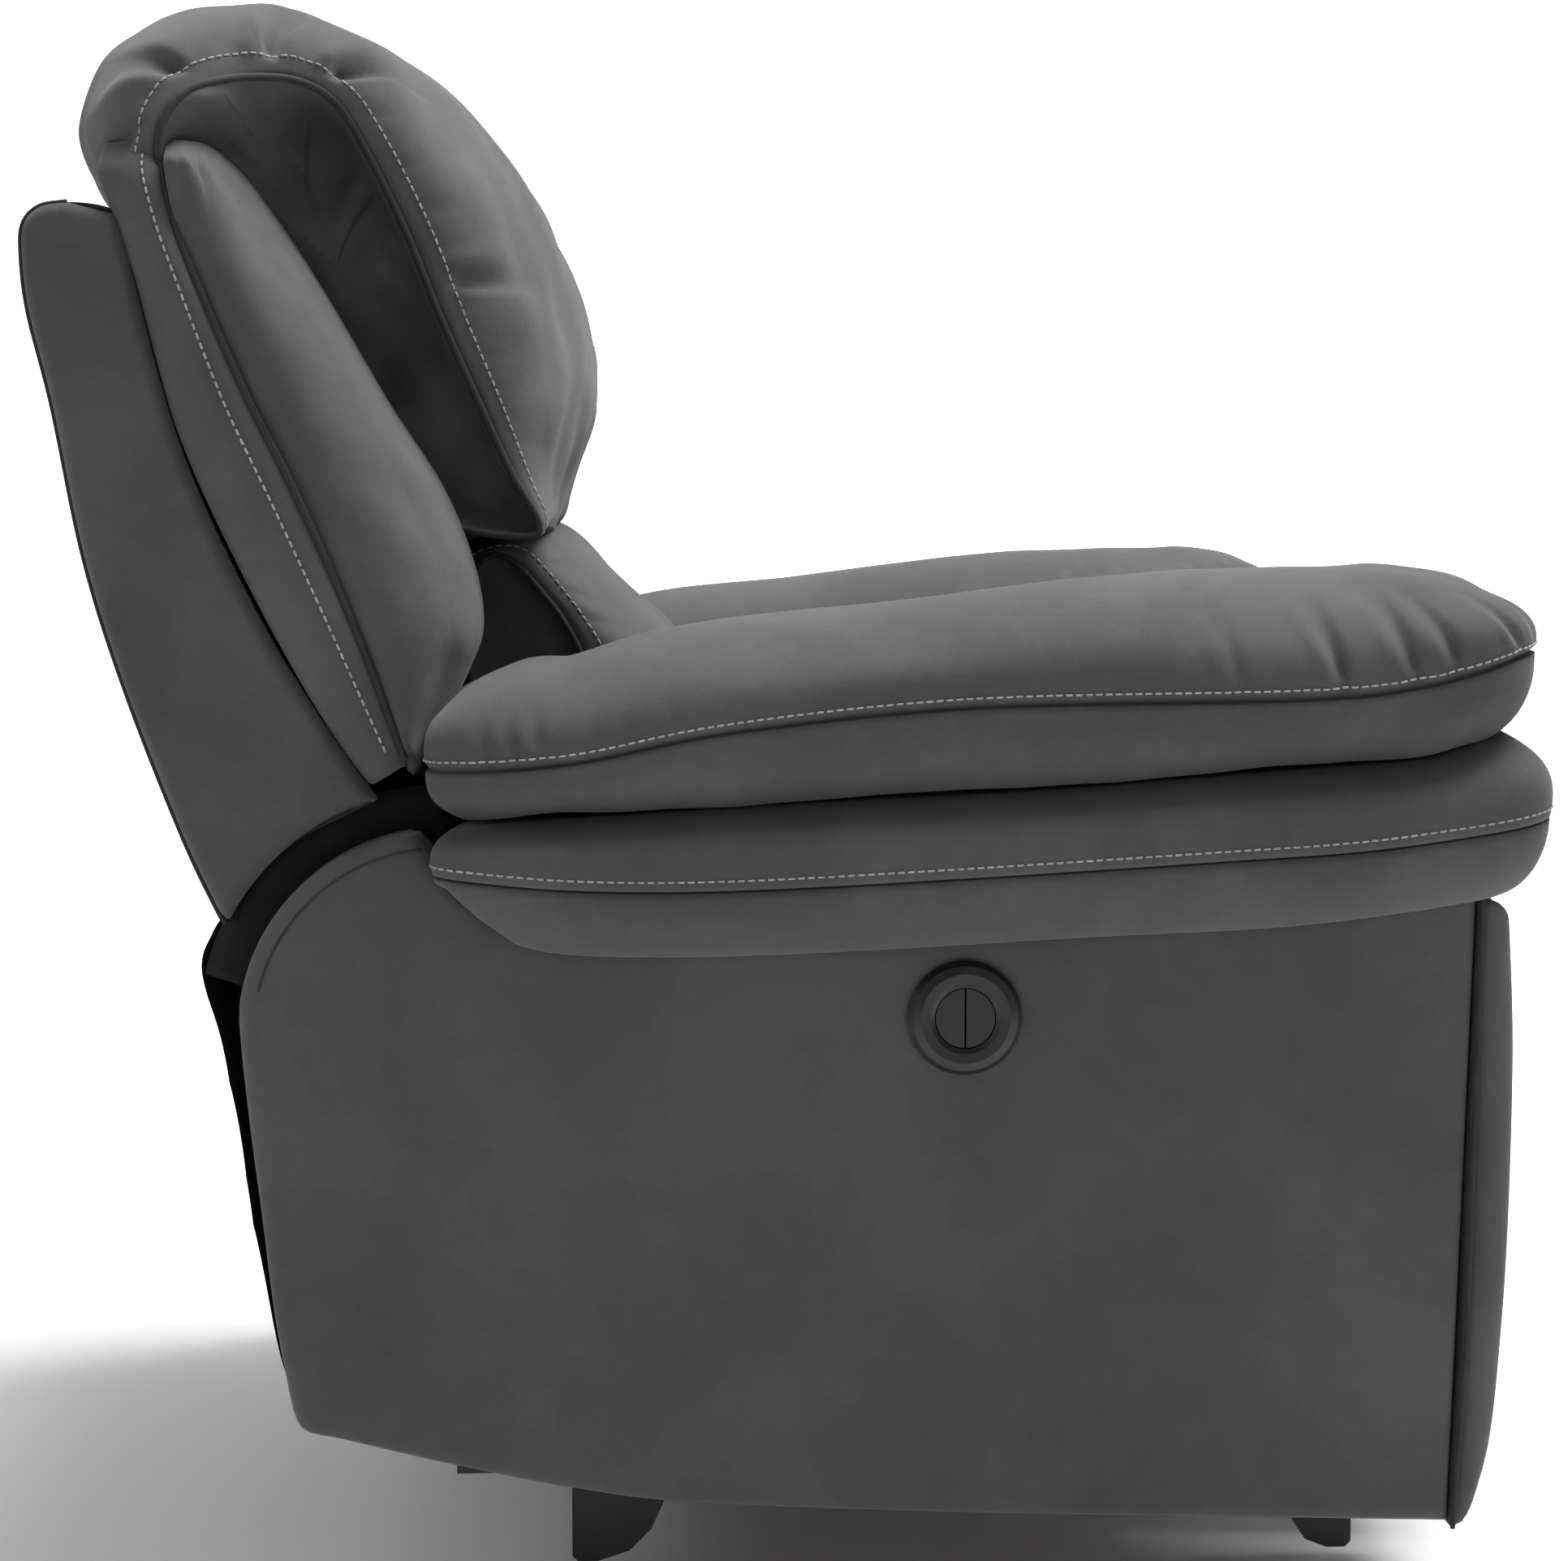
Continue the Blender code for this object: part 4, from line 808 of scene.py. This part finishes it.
SEAT_BOTTOM = 0.3775
seat_ring = plan_ring((-0.258, -0.419), (0.258, 0.185), 0.05, 0.04, 440)
seat_middle = np.broadcast_to((0.0, -0.117), seat_ring.shape)
going_in, going_up = dome(42, 4.2)
seam_z = np.interp(seat_ring[:, 1], (-0.42, 0.18), (0.462, 0.448))
crown_z = 0.513 - 0.028 * ramped(seat_ring[:, 1], -0.3, 0.18)
seat_rings = tiers(
    seat_ring, seat_middle, ([0.92, 0.5, 0.2], 0, SEAT_BOTTOM),
    (going_in[11::-1] * 0.6, 0,
     seam_z - 0.001 + (0.378 - seam_z) * going_up[11::-1, None] / going_up[11]),
    (0, 0.0045, seam_z),
    (going_in, 0, seam_z + 0.001 + (crown_z - seam_z) * going_up[:, None]))
run, whole, rise, outward = from_seam(seat_rings, 15)
gather = 0.0018 * pleats(run, rise, whole, 0.026, 0.035, 43)
soft = 0.0045 * lumps(seat_rings, 0.26, 47) + 0.0012 * lumps(seat_rings, 0.07, 48)
seat_rings = seat_rings + outward * (soft * ramped(np.abs(rise), 0.004, 0.08) - gather)[..., None]
seat, thread = topstitched("seat_cushion_cover", "seat_stitches", seat_rings, rise, outward,
                           0.009)
fitted(seat, "root", ["seat_cushion"], [thread])


# ---- footrest pad
# Foam on the footrest's plywood board. The cover goes round the board and is stapled to
# its back; folded, the pad closes the chair's front under the seat.

# distances in front of the origin: the staples on the board, the seam and the face's edge
STAPLED, SEWN, FACE = 0.4277, 0.457, 0.458
leg_ring = plan_ring((-0.256, 0.13), (0.256, 0.464), 0.03, 0.03, 420)
leg_middle = np.broadcast_to((0.0, 0.297), leg_ring.shape)
face_y = [(0.12, -0.469), (0.145, -0.474), (0.19, -0.486), (0.265, -0.497),
          (0.33, -0.505), (0.38, -0.505), (0.43, -0.498), (0.462, -0.485)]
going_in, going_up = dome(42, 5.0)
leg_rings = tiers(
    leg_ring, leg_middle, ([0.95, 0.6, 0.3], 0, STAPLED),
    (0, 0.008 * np.linspace(1, 0, 10) ** 3, np.linspace(STAPLED, 0.456, 10)[:, None]),
    (0, 0.0035, SEWN), (going_in, 0, FACE))
crown = -at(face_y, leg_rings[14:, :, 1]) - FACE
leg_rings[14:, :, 2] += crown * going_up[:, None]
leg_rings = np.stack([leg_rings[..., 0], -leg_rings[..., 2], leg_rings[..., 1]], -1)
run, whole, rise, outward = from_seam(leg_rings, 13)
soft = 0.0022 * lumps(leg_rings, 0.24, 57) * ramped(np.abs(rise), 0.004, 0.06)
gather = 0.001 * pleats(run, rise, whole, 0.028, 0.03, 53)
shown = np.arange(len(leg_rings))[:, None] > 3
leg_rings = leg_rings + outward * (shown * (soft - gather))[..., None]
leg, thread = topstitched("footrest_pad_cover", "footrest_stitches", leg_rings, rise, outward,
                          0.008)
fitted(leg, "footrest", ["footrest_pad", "footrest_board"], [thread])


# ---- back wings
# Flat padded sides of the back over its posts. The lower edge is an arc about the recline
# hinge, so it clears the arm; the rear edge and the top are piped where the rear panel joins.

wing_rear = [(0.3845, 0.4555), (0.3895, 0.463), (0.4115, 0.512), (0.4455, 0.604),
             (0.4695, 0.686), (0.4875, 0.781), (0.5015, 0.841), (0.505, 0.878),
             (0.503, 0.895), (0.493, 0.905), (0.476, 0.908)]
wing_front = [(0.286, 0.533), (0.3195, 0.583), (0.3545, 0.64), (0.3935, 0.721),
              (0.4175, 0.7915), (0.4385, 0.8815), (0.444, 0.9)]
rear = evenly(np.vstack([arc_points(0.1525, 66, 27, 30), through(wing_rear[1:], 12)]), 170)
front = evenly(np.vstack([arc_points(0.1525, 67, 75, 6), through(wing_front[1:], 12)]), 170)
flat = between(front, rear, 44)
depth = quilt(flat, 0.009, 0.12, 65)
edge = along(wing_rear, 160)
for side in SIDES:
    wing = upright("back_wing_cover", side, flat, 0.4265, 0.0145 * depth)
    piping = piped("back_wing_piping", side, sideways(edge[None], 0.429)[0], 0.0017)
    fitted(wing, "back", [f"back_wing_{side}"], [piping])


# ---- rear panel
# One piece of cloth over thin wadding across the whole back, tacked under its lower rail;
# at the top it rolls forwards over the top rail, under the head pillow.

profile = along(wing_rear + [(0.456, 0.906), (0.442, 0.9)], 150)
spread = np.linspace(-0.427, 0.427, 120)
crown = 0.0055 * (1 - (spread / 0.427) ** 4)
outer = np.stack([np.broadcast_to(spread, (150, 120)),
                  profile[:, :1] - 0.0012 + crown * ramped(profile[:, 1:], 0.456, 0.52)
                  * (1 - 0.6 * ramped(profile[:, 1:], 0.86, 0.91)),
                  np.broadcast_to(profile[:, 1:], (150, 120))], -1)
outer[..., 1] += 0.001 * lumps(outer, 0.22, 71) * (1 - (spread / 0.427) ** 6)
middle = np.array([0.3, 0.7])
step = middle - profile
under = outer.copy()
under[..., 1:] += (0.006 * step / np.linalg.norm(step, axis=1, keepdims=True))[:, None]
fitted(slab("rear_panel_cover", outer, under, suede_cloth), "back",
       ["back_rear_panel"])


# ---- back strips
# A stuffed border between each wing and its bolster, piped in dark cloth along the bolster
# and topstitched beside it. It bends in under the head pillow, whose piping carries on.

strip_front = [(0.447, 0.27, 0.556), (0.4485, 0.2745, 0.5735), (0.4495, 0.3025, 0.65),
               (0.45, 0.3375, 0.731), (0.45, 0.3665, 0.791), (0.448, 0.3985, 0.866),
               (0.443, 0.4105, 0.9), (0.436, 0.416, 0.928), (0.415, 0.416, 0.948)]
strip_rear = [(0.43, 0.288, 0.544), (0.433, 0.296, 0.548), (0.435, 0.33, 0.6),
              (0.435, 0.372, 0.68), (0.435, 0.409, 0.765), (0.435, 0.434, 0.86),
              (0.433, 0.447, 0.9), (0.425, 0.457, 0.926), (0.405, 0.456, 0.946)]
first, second = along(strip_front, 150), along(strip_rear, 150)
u = np.linspace(0, 1, 22)
swell = np.sin(np.pi * u) ** 0.7 * 0.008 + 0.004 * np.sin(np.pi * u ** 0.6) * (u < 1)
taper = np.sqrt(np.clip(1 - (1 - np.clip(np.linspace(0, 1, 150) / 0.025, 0, 1)) ** 2, 0, 1))
skin = first[:, None] * (1 - u[:, None]) + second[:, None] * u[:, None]
skin[..., 0] += swell * taper[:, None]
skin[..., 0] += 0.001 * lumps(skin, 0.09, 81) * np.sin(np.pi * u)
lining = skin[:, ::-1][:, 1:-1].copy()
lining[..., 0] = np.minimum(lining[..., 0] - 0.012, first[:, None, 0] - 0.022)
strip_rings = np.concatenate([skin, lining], 1)
piping_line = first + (0.0022, -0.0006, 0.0)
beside = skin[:, 6] + (0.0002, 0, 0)
for side, sign in SIDES.items():
    strip = stuffed(f"back_strip_{side}", mirrored(strip_rings, sign), suede_cloth)
    piping = piped("back_strip_piping", side, piping_line, 0.0024)
    thread = stitches(f"back_strip_stitches_{side}", mirrored(beside[6:], sign),
                      np.tile((sign, 0, 0), (144, 1)))
    fitted(strip, "back", trims=[piping, thread])


# ---- bolsters
# Long stuffed rolls at each side of the back, sewn into the strip behind and rolled round
# towards the head pillow in front. Both ends are folded in; the upper one is gathered.

bolster_rear = [(0.269, 0.55), (0.2735, 0.5735), (0.3025, 0.65), (0.3375, 0.731),
                (0.3665, 0.791), (0.3985, 0.866), (0.409, 0.9), (0.414, 0.93),
                (0.415, 0.947)]
bolster_front = [(0.26, 0.542), (0.25, 0.572), (0.231, 0.612), (0.222, 0.64),
                 (0.2275, 0.68), (0.2475, 0.731), (0.283, 0.787), (0.318, 0.848),
                 (0.3456, 0.893), (0.369, 0.927), (0.387, 0.946)]
first, second = along(bolster_rear, 170), along(bolster_front, 170)
t = np.linspace(0, 1, 170)
u = np.linspace(0, 1, 40)
ends = np.minimum(ramped(t, -0.03, 0.05), 1 - ramped(t, 0.955, 1.03))
flat = first[:, None] * (1 - u[:, None]) + second[:, None] * u[:, None]
over = 0.112 * (1 - u ** 2.6) ** (1 / 2.1) + 0.007 * np.sin(np.pi * np.clip(u / 0.75, 0, 1))
bulge = 0.336 + over[None] * (0.55 + 0.45 * ends[:, None])
roll = np.concatenate([bulge[..., None], flat], -1)
hidden = roll[:, np.linspace(36, 4, 12).astype(int)]
hidden[..., 0] = 0.336
bolster_rings = np.concatenate([roll, hidden], 1)
outward = normals(bolster_rings)
shown = np.concatenate([np.sin(np.pi * np.clip(u, 0, 1)) ** 0.5, np.zeros(12)])
from_top = (1 - t[:, None]) * 0.46 + 0 * shown
across_run = np.concatenate([u * 0.12, np.full(12, 9.0)])[None] + 0 * from_top
gather = 0.003 * pleats(across_run, from_top, 0.12, 0.02, 0.03, 93)
soft = 0.0022 * lumps(bolster_rings, 0.15, 91) + 0.0008 * lumps(bolster_rings, 0.05, 92)
bolster_rings = bolster_rings + outward * (soft * shown - gather * shown)[..., None]
for side, sign in SIDES.items():
    bolster = stuffed(f"back_bolster_cover_{side}", mirrored(bolster_rings, sign), suede_cloth)
    fitted(bolster, "back", [f"back_bolster_{side}"])


# ---- back core
# The cloth over the foam between the bolsters, which the head pillow and the lumbar
# cushion lie against; it shows in the gaps between them.

core_front = along([(0.302, 0.545), (0.264, 0.56), (0.26, 0.6), (0.264, 0.63),
                    (0.28, 0.69), (0.306, 0.745), (0.346, 0.82), (0.38, 0.88)], 80)
core_rear = along([(0.318, 0.543), (0.346, 0.604), (0.372, 0.69), (0.4, 0.78),
                   (0.426, 0.874)], 80)
spread = np.linspace(-0.3352, 0.3352, 90)
face, back = carried(core_front, spread), carried(core_rear, spread)
face[0], face[-1] = back[0], back[-1]
face[:, 0], face[:, -1] = back[:, 0], back[:, -1]
face[1:-1, 1:-1, 1] += 0.0015 * lumps(face, 0.12, 99)[1:-1, 1:-1]
core = slab("back_core_cover", face, back, suede_cloth)
fitted(core, "back", ["back_foam"])


# ---- head pillow
# Fibre-filled and full, gathered into a piped seam that loops round each side; inside the
# loop its side is a slack gusset, drawn in towards the back.

outer_loop = [(0.432, 1.055), (0.4775, 1.021), (0.5, 0.9705), (0.4905, 0.931),
              (0.47, 0.917), (0.43, 0.915), (0.39, 0.895), (0.355, 0.84),
              (0.31, 0.76), (0.27, 0.71), (0.19, 0.7), (0.1715, 0.708),
              (0.1635, 0.737), (0.1495, 0.789), (0.1515, 0.847), (0.1765, 0.921),
              (0.2225, 0.981), (0.2675, 1.023), (0.3245, 1.056), (0.3805, 1.066)]
seam_loop = [(0.395, 0.996), (0.412, 0.989), (0.425, 0.975), (0.431, 0.955),
             (0.43, 0.935), (0.42, 0.915), (0.385, 0.895), (0.35, 0.845),
             (0.305, 0.765), (0.265, 0.715), (0.2, 0.7), (0.1865, 0.708),
             (0.2035, 0.74), (0.225, 0.79), (0.25, 0.845), (0.2755, 0.905),
             (0.298, 0.952), (0.318, 0.983), (0.345, 0.998), (0.3755, 1)]
loop_half = [0.412, 0.424, 0.432, 0.436, 0.436, 0.43, 0.4, 0.36, 0.335, 0.33, 0.33, 0.33,
             0.33, 0.33, 0.33, 0.332, 0.338, 0.35, 0.372, 0.394]
outer, rim = through(outer_loop, 20, closed=True), through(seam_loop, 20, closed=True)
half = through(np.array(loop_half)[:, None], 20, closed=True)[:, 0]
# the loop narrows towards the front, as its distance from the middle of the chair does
rim = (0.16, 0.727) + (rim - (0.16, 0.727)) * (2.555 - half[:, None]) / 2.225
rim = rim + 0.0016 * lumps(sideways(rim[None], np.zeros((1, 400)))[0], 0.09, 104)[:, None]


def swollen(outer, rim, half, power, count, end):
    """The skin of a cushion that lies across the chair between two side seams.

    Rings go from one seam, rim, out to the full outline, outer, and back in along a
    superellipse: x = half sin(a)^(2/power), and cos(a)^(2/power) of the way out, with the
    angle a between -end and end. Returns the rings, their distance from the nearer seam
    and their normals.
    """
    angle = np.radians(np.linspace(-end, end, count))
    full = np.cos(angle) ** (2 / power)
    place = half * (np.sign(angle) * np.abs(np.sin(angle)) ** (2 / power))[:, None]
    body = rim + (outer - rim) * full[:, None, None]
    body = np.concatenate([np.broadcast_to(place[..., None], body.shape[:2] + (1,)), body], -1)
    rise = rise_along(body, 0)
    return body, np.minimum(rise, rise[::-1]), normals(body)


def end_trims(name, side, body, rise, outward, height, line, radius):
    """The topstitching at a height from the seam at one end of a cushion, and its piping."""
    count = len(body) // 2
    rows = slice(count) if side == "right" else slice(None, count - 1, -1)
    thread = stitches(f"{name}_stitches_{side}", level(body[rows], rise[:count], height),
                      level(outward[rows], rise[:count], height), closed=True)
    return thread, piped(f"{name}_piping", side, line, radius, closed=True)


body, rise, outward = swollen(outer, rim, half, 2.5, 130, 88.5)
middle = rim.mean(0)
drawn = np.linspace(0.08, 0.975, 28)[:, None] ** 1.7
gusset = rim + (middle - rim) * drawn[..., None]
# it hangs slack over the bolster's end, under the loop's top
slack = ramped(rim[:, 1], 0.93, 0.985) * ramped(rim[:, 0], 0.33, 0.4)
deep = half + (0.33 - half) * ramped(drawn, 0.0, 0.1 + 0.35 * slack)
deep = deep - 0.036 * (1 - np.exp(-drawn / (0.08 + 0.2 * slack)))
deep = deep + 0.024 * slack * np.sin(np.pi * np.clip(drawn / 0.4, 0, 1))
gusset = np.concatenate([deep[..., None], gusset], -1)
run, whole = run_along(body[0])
# stations: the loop's points, counted from its rear top, with parts between them
station = np.arange(400) / 20
place = np.interp((1.6, 15.6, 17.9, 19.4), station, run)
depth = np.array([0.006, 0.005, 0.006, 0.009])
folds = creases(run + 0 * drawn, drawn * np.linalg.norm(middle - rim, axis=1), place, depth,
                np.array([-0.3, 0.4, 0.5, -0.3]), 0.055, 0.007)
folds -= 0.0085 * lumps(gusset, 0.085, 101) + 0.0034 * lumps(gusset, 0.035, 102)
gusset[..., 0] -= folds * ramped(drawn, 0.0, 0.12)
near = gusset * (-1, 1, 1)
pillow_rings = np.concatenate([near[::-1], body, gusset])
spread = 0.35 + 0.65 * ramped(rim[:, 1], 0.86, 0.97)
gather = 0.0025 * spread * pleats(run, rise, whole, 0.028, 0.035, 105)
# the deepest gathers: over the top of the loop, and one behind it
place = np.interp((0.45, 2.4, 5.6, 14.3, 17.35, 18.45), station, run)
depth = np.array([0.011, 0.007, 0.005, 0.006, 0.012, 0.013])
lean = np.array([0.15, 0.2, 0.0, 0.0, -0.3, -0.1])
gather += creases(run, rise, place, depth, lean, 0.075, 0.005)
soft = 0.0035 * lumps(body, 0.2, 106) + 0.0012 * lumps(body, 0.06, 107)
body = body + outward * (soft * ramped(rise, 0.0, 0.06) - gather)[..., None]
pillow_rings[len(near):len(near) + len(body)] = body
pillow = stuffed("head_pillow_cover", pillow_rings, suede_cloth)
line = np.concatenate([half[:, None], rim], 1)
trims = [thing for side in SIDES for thing in end_trims(
    "head_pillow", side, body, rise, outward, 0.011, line, 0.0026)]
fitted(pillow, "back", ["head_pillow"], trims)


# ---- lumbar cushion
# The lower back cushion, in front of the bolsters' feet and behind the seat: the same cover
# and fibre, with a topstitched seam round each side.

outer_loop = [(0.1865, 0.703), (0.1725, 0.703), (0.1555, 0.692), (0.1385, 0.675),
              (0.1155, 0.649), (0.0925, 0.626), (0.078, 0.594), (0.075, 0.556),
              (0.09, 0.52), (0.13, 0.504), (0.185, 0.508), (0.218, 0.54),
              (0.24, 0.6), (0.254, 0.65), (0.245, 0.688), (0.218, 0.699)]
seam_loop = [(0.21, 0.684), (0.204, 0.68), (0.196, 0.673), (0.185, 0.66),
             (0.172, 0.6435), (0.1585, 0.619), (0.15, 0.59), (0.148, 0.556),
             (0.155, 0.53), (0.175, 0.52), (0.2, 0.523), (0.22, 0.548),
             (0.234, 0.6), (0.238, 0.64), (0.232, 0.672), (0.22, 0.684)]
HALF = 0.256
outer, rim = through(outer_loop, 16, closed=True), through(seam_loop, 16, closed=True)
body, rise, outward = swollen(outer, rim, HALF, 2.8, 100, 88)
drawn = np.array([0.03, 0.1, 0.25, 0.5, 0.8, 0.95])[:, None]
side_face = sideways(rim + (rim.mean(0) - rim) * drawn[..., None],
                     HALF - 0.012 * (1 - np.exp(-drawn / 0.08)))
run, whole = run_along(body[0])
gather = 0.0022 * pleats(run, rise, whole, 0.024, 0.035, 115)
soft = 0.003 * lumps(body, 0.18, 116) * ramped(rise, 0.0, 0.06)
body = body + outward * (soft - gather)[..., None]
lumbar = stuffed("lumbar_cushion_cover",
                 np.concatenate([(side_face * (-1, 1, 1))[::-1], body, side_face]), suede_cloth)
line = sideways(rim[None], HALF - 0.0006)[0]
trims = [thing for side in SIDES for thing in end_trims(
    "lumbar", side, body, rise, outward, 0.0095, line, 0.0022)]
fitted(lumbar, "back", ["lumbar_cushion"], trims)


# ---- rear cover
# Black non-woven dust cloth that closes the gap under the back, tacked to the back's lower
# edge and to the frame. It hangs slack, in fixed creases.

line = along([(0.388, 0.458), (0.395, 0.447), (0.4025, 0.4235), (0.3915, 0.376),
              (0.38, 0.301), (0.372, 0.25), (0.36, 0.19), (0.348, 0.145)], 90)
spread = np.linspace(-0.418, 0.418, 160)
cloth = carried(line, spread)
held = np.sin(np.pi * np.linspace(0, 1, 90))[:, None] ** 0.6
rucks = np.abs(np.sin(cloth @ (21, 0, 34))) ** 0.7 + np.abs(np.sin(cloth @ (-34, 0, 27)))
cloth[..., 1] -= held * (0.0013 * rucks + 0.0012 * (1 + lumps(cloth, 0.16, 121)))
# non-woven polypropylene: matt black, with a fine pressed pattern
non_woven = grainy("non_woven_dust_cloth", "#0d0d0d", "#151515", 2.5, 0.25, 0.9)
index = np.arange(90 * 160).reshape(90, 160)
cover = build("rear_cover_cloth", cloth, quads(index), non_woven, closed=False)
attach(cover, "root")
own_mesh(cover)
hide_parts("rear_cover")


# ---- switch
# A round bezel with two half-moon push buttons, moulded in semi-gloss ABS.

# ABS: moulded, with a fine even spark-eroded grain
abs_plastic = grainy("moulded_abs", "#070707", "#0c0c0c", 0.8, 0.03, 0.4)
paint(abs_plastic, "switch_bezel", "button_open", "button_close")
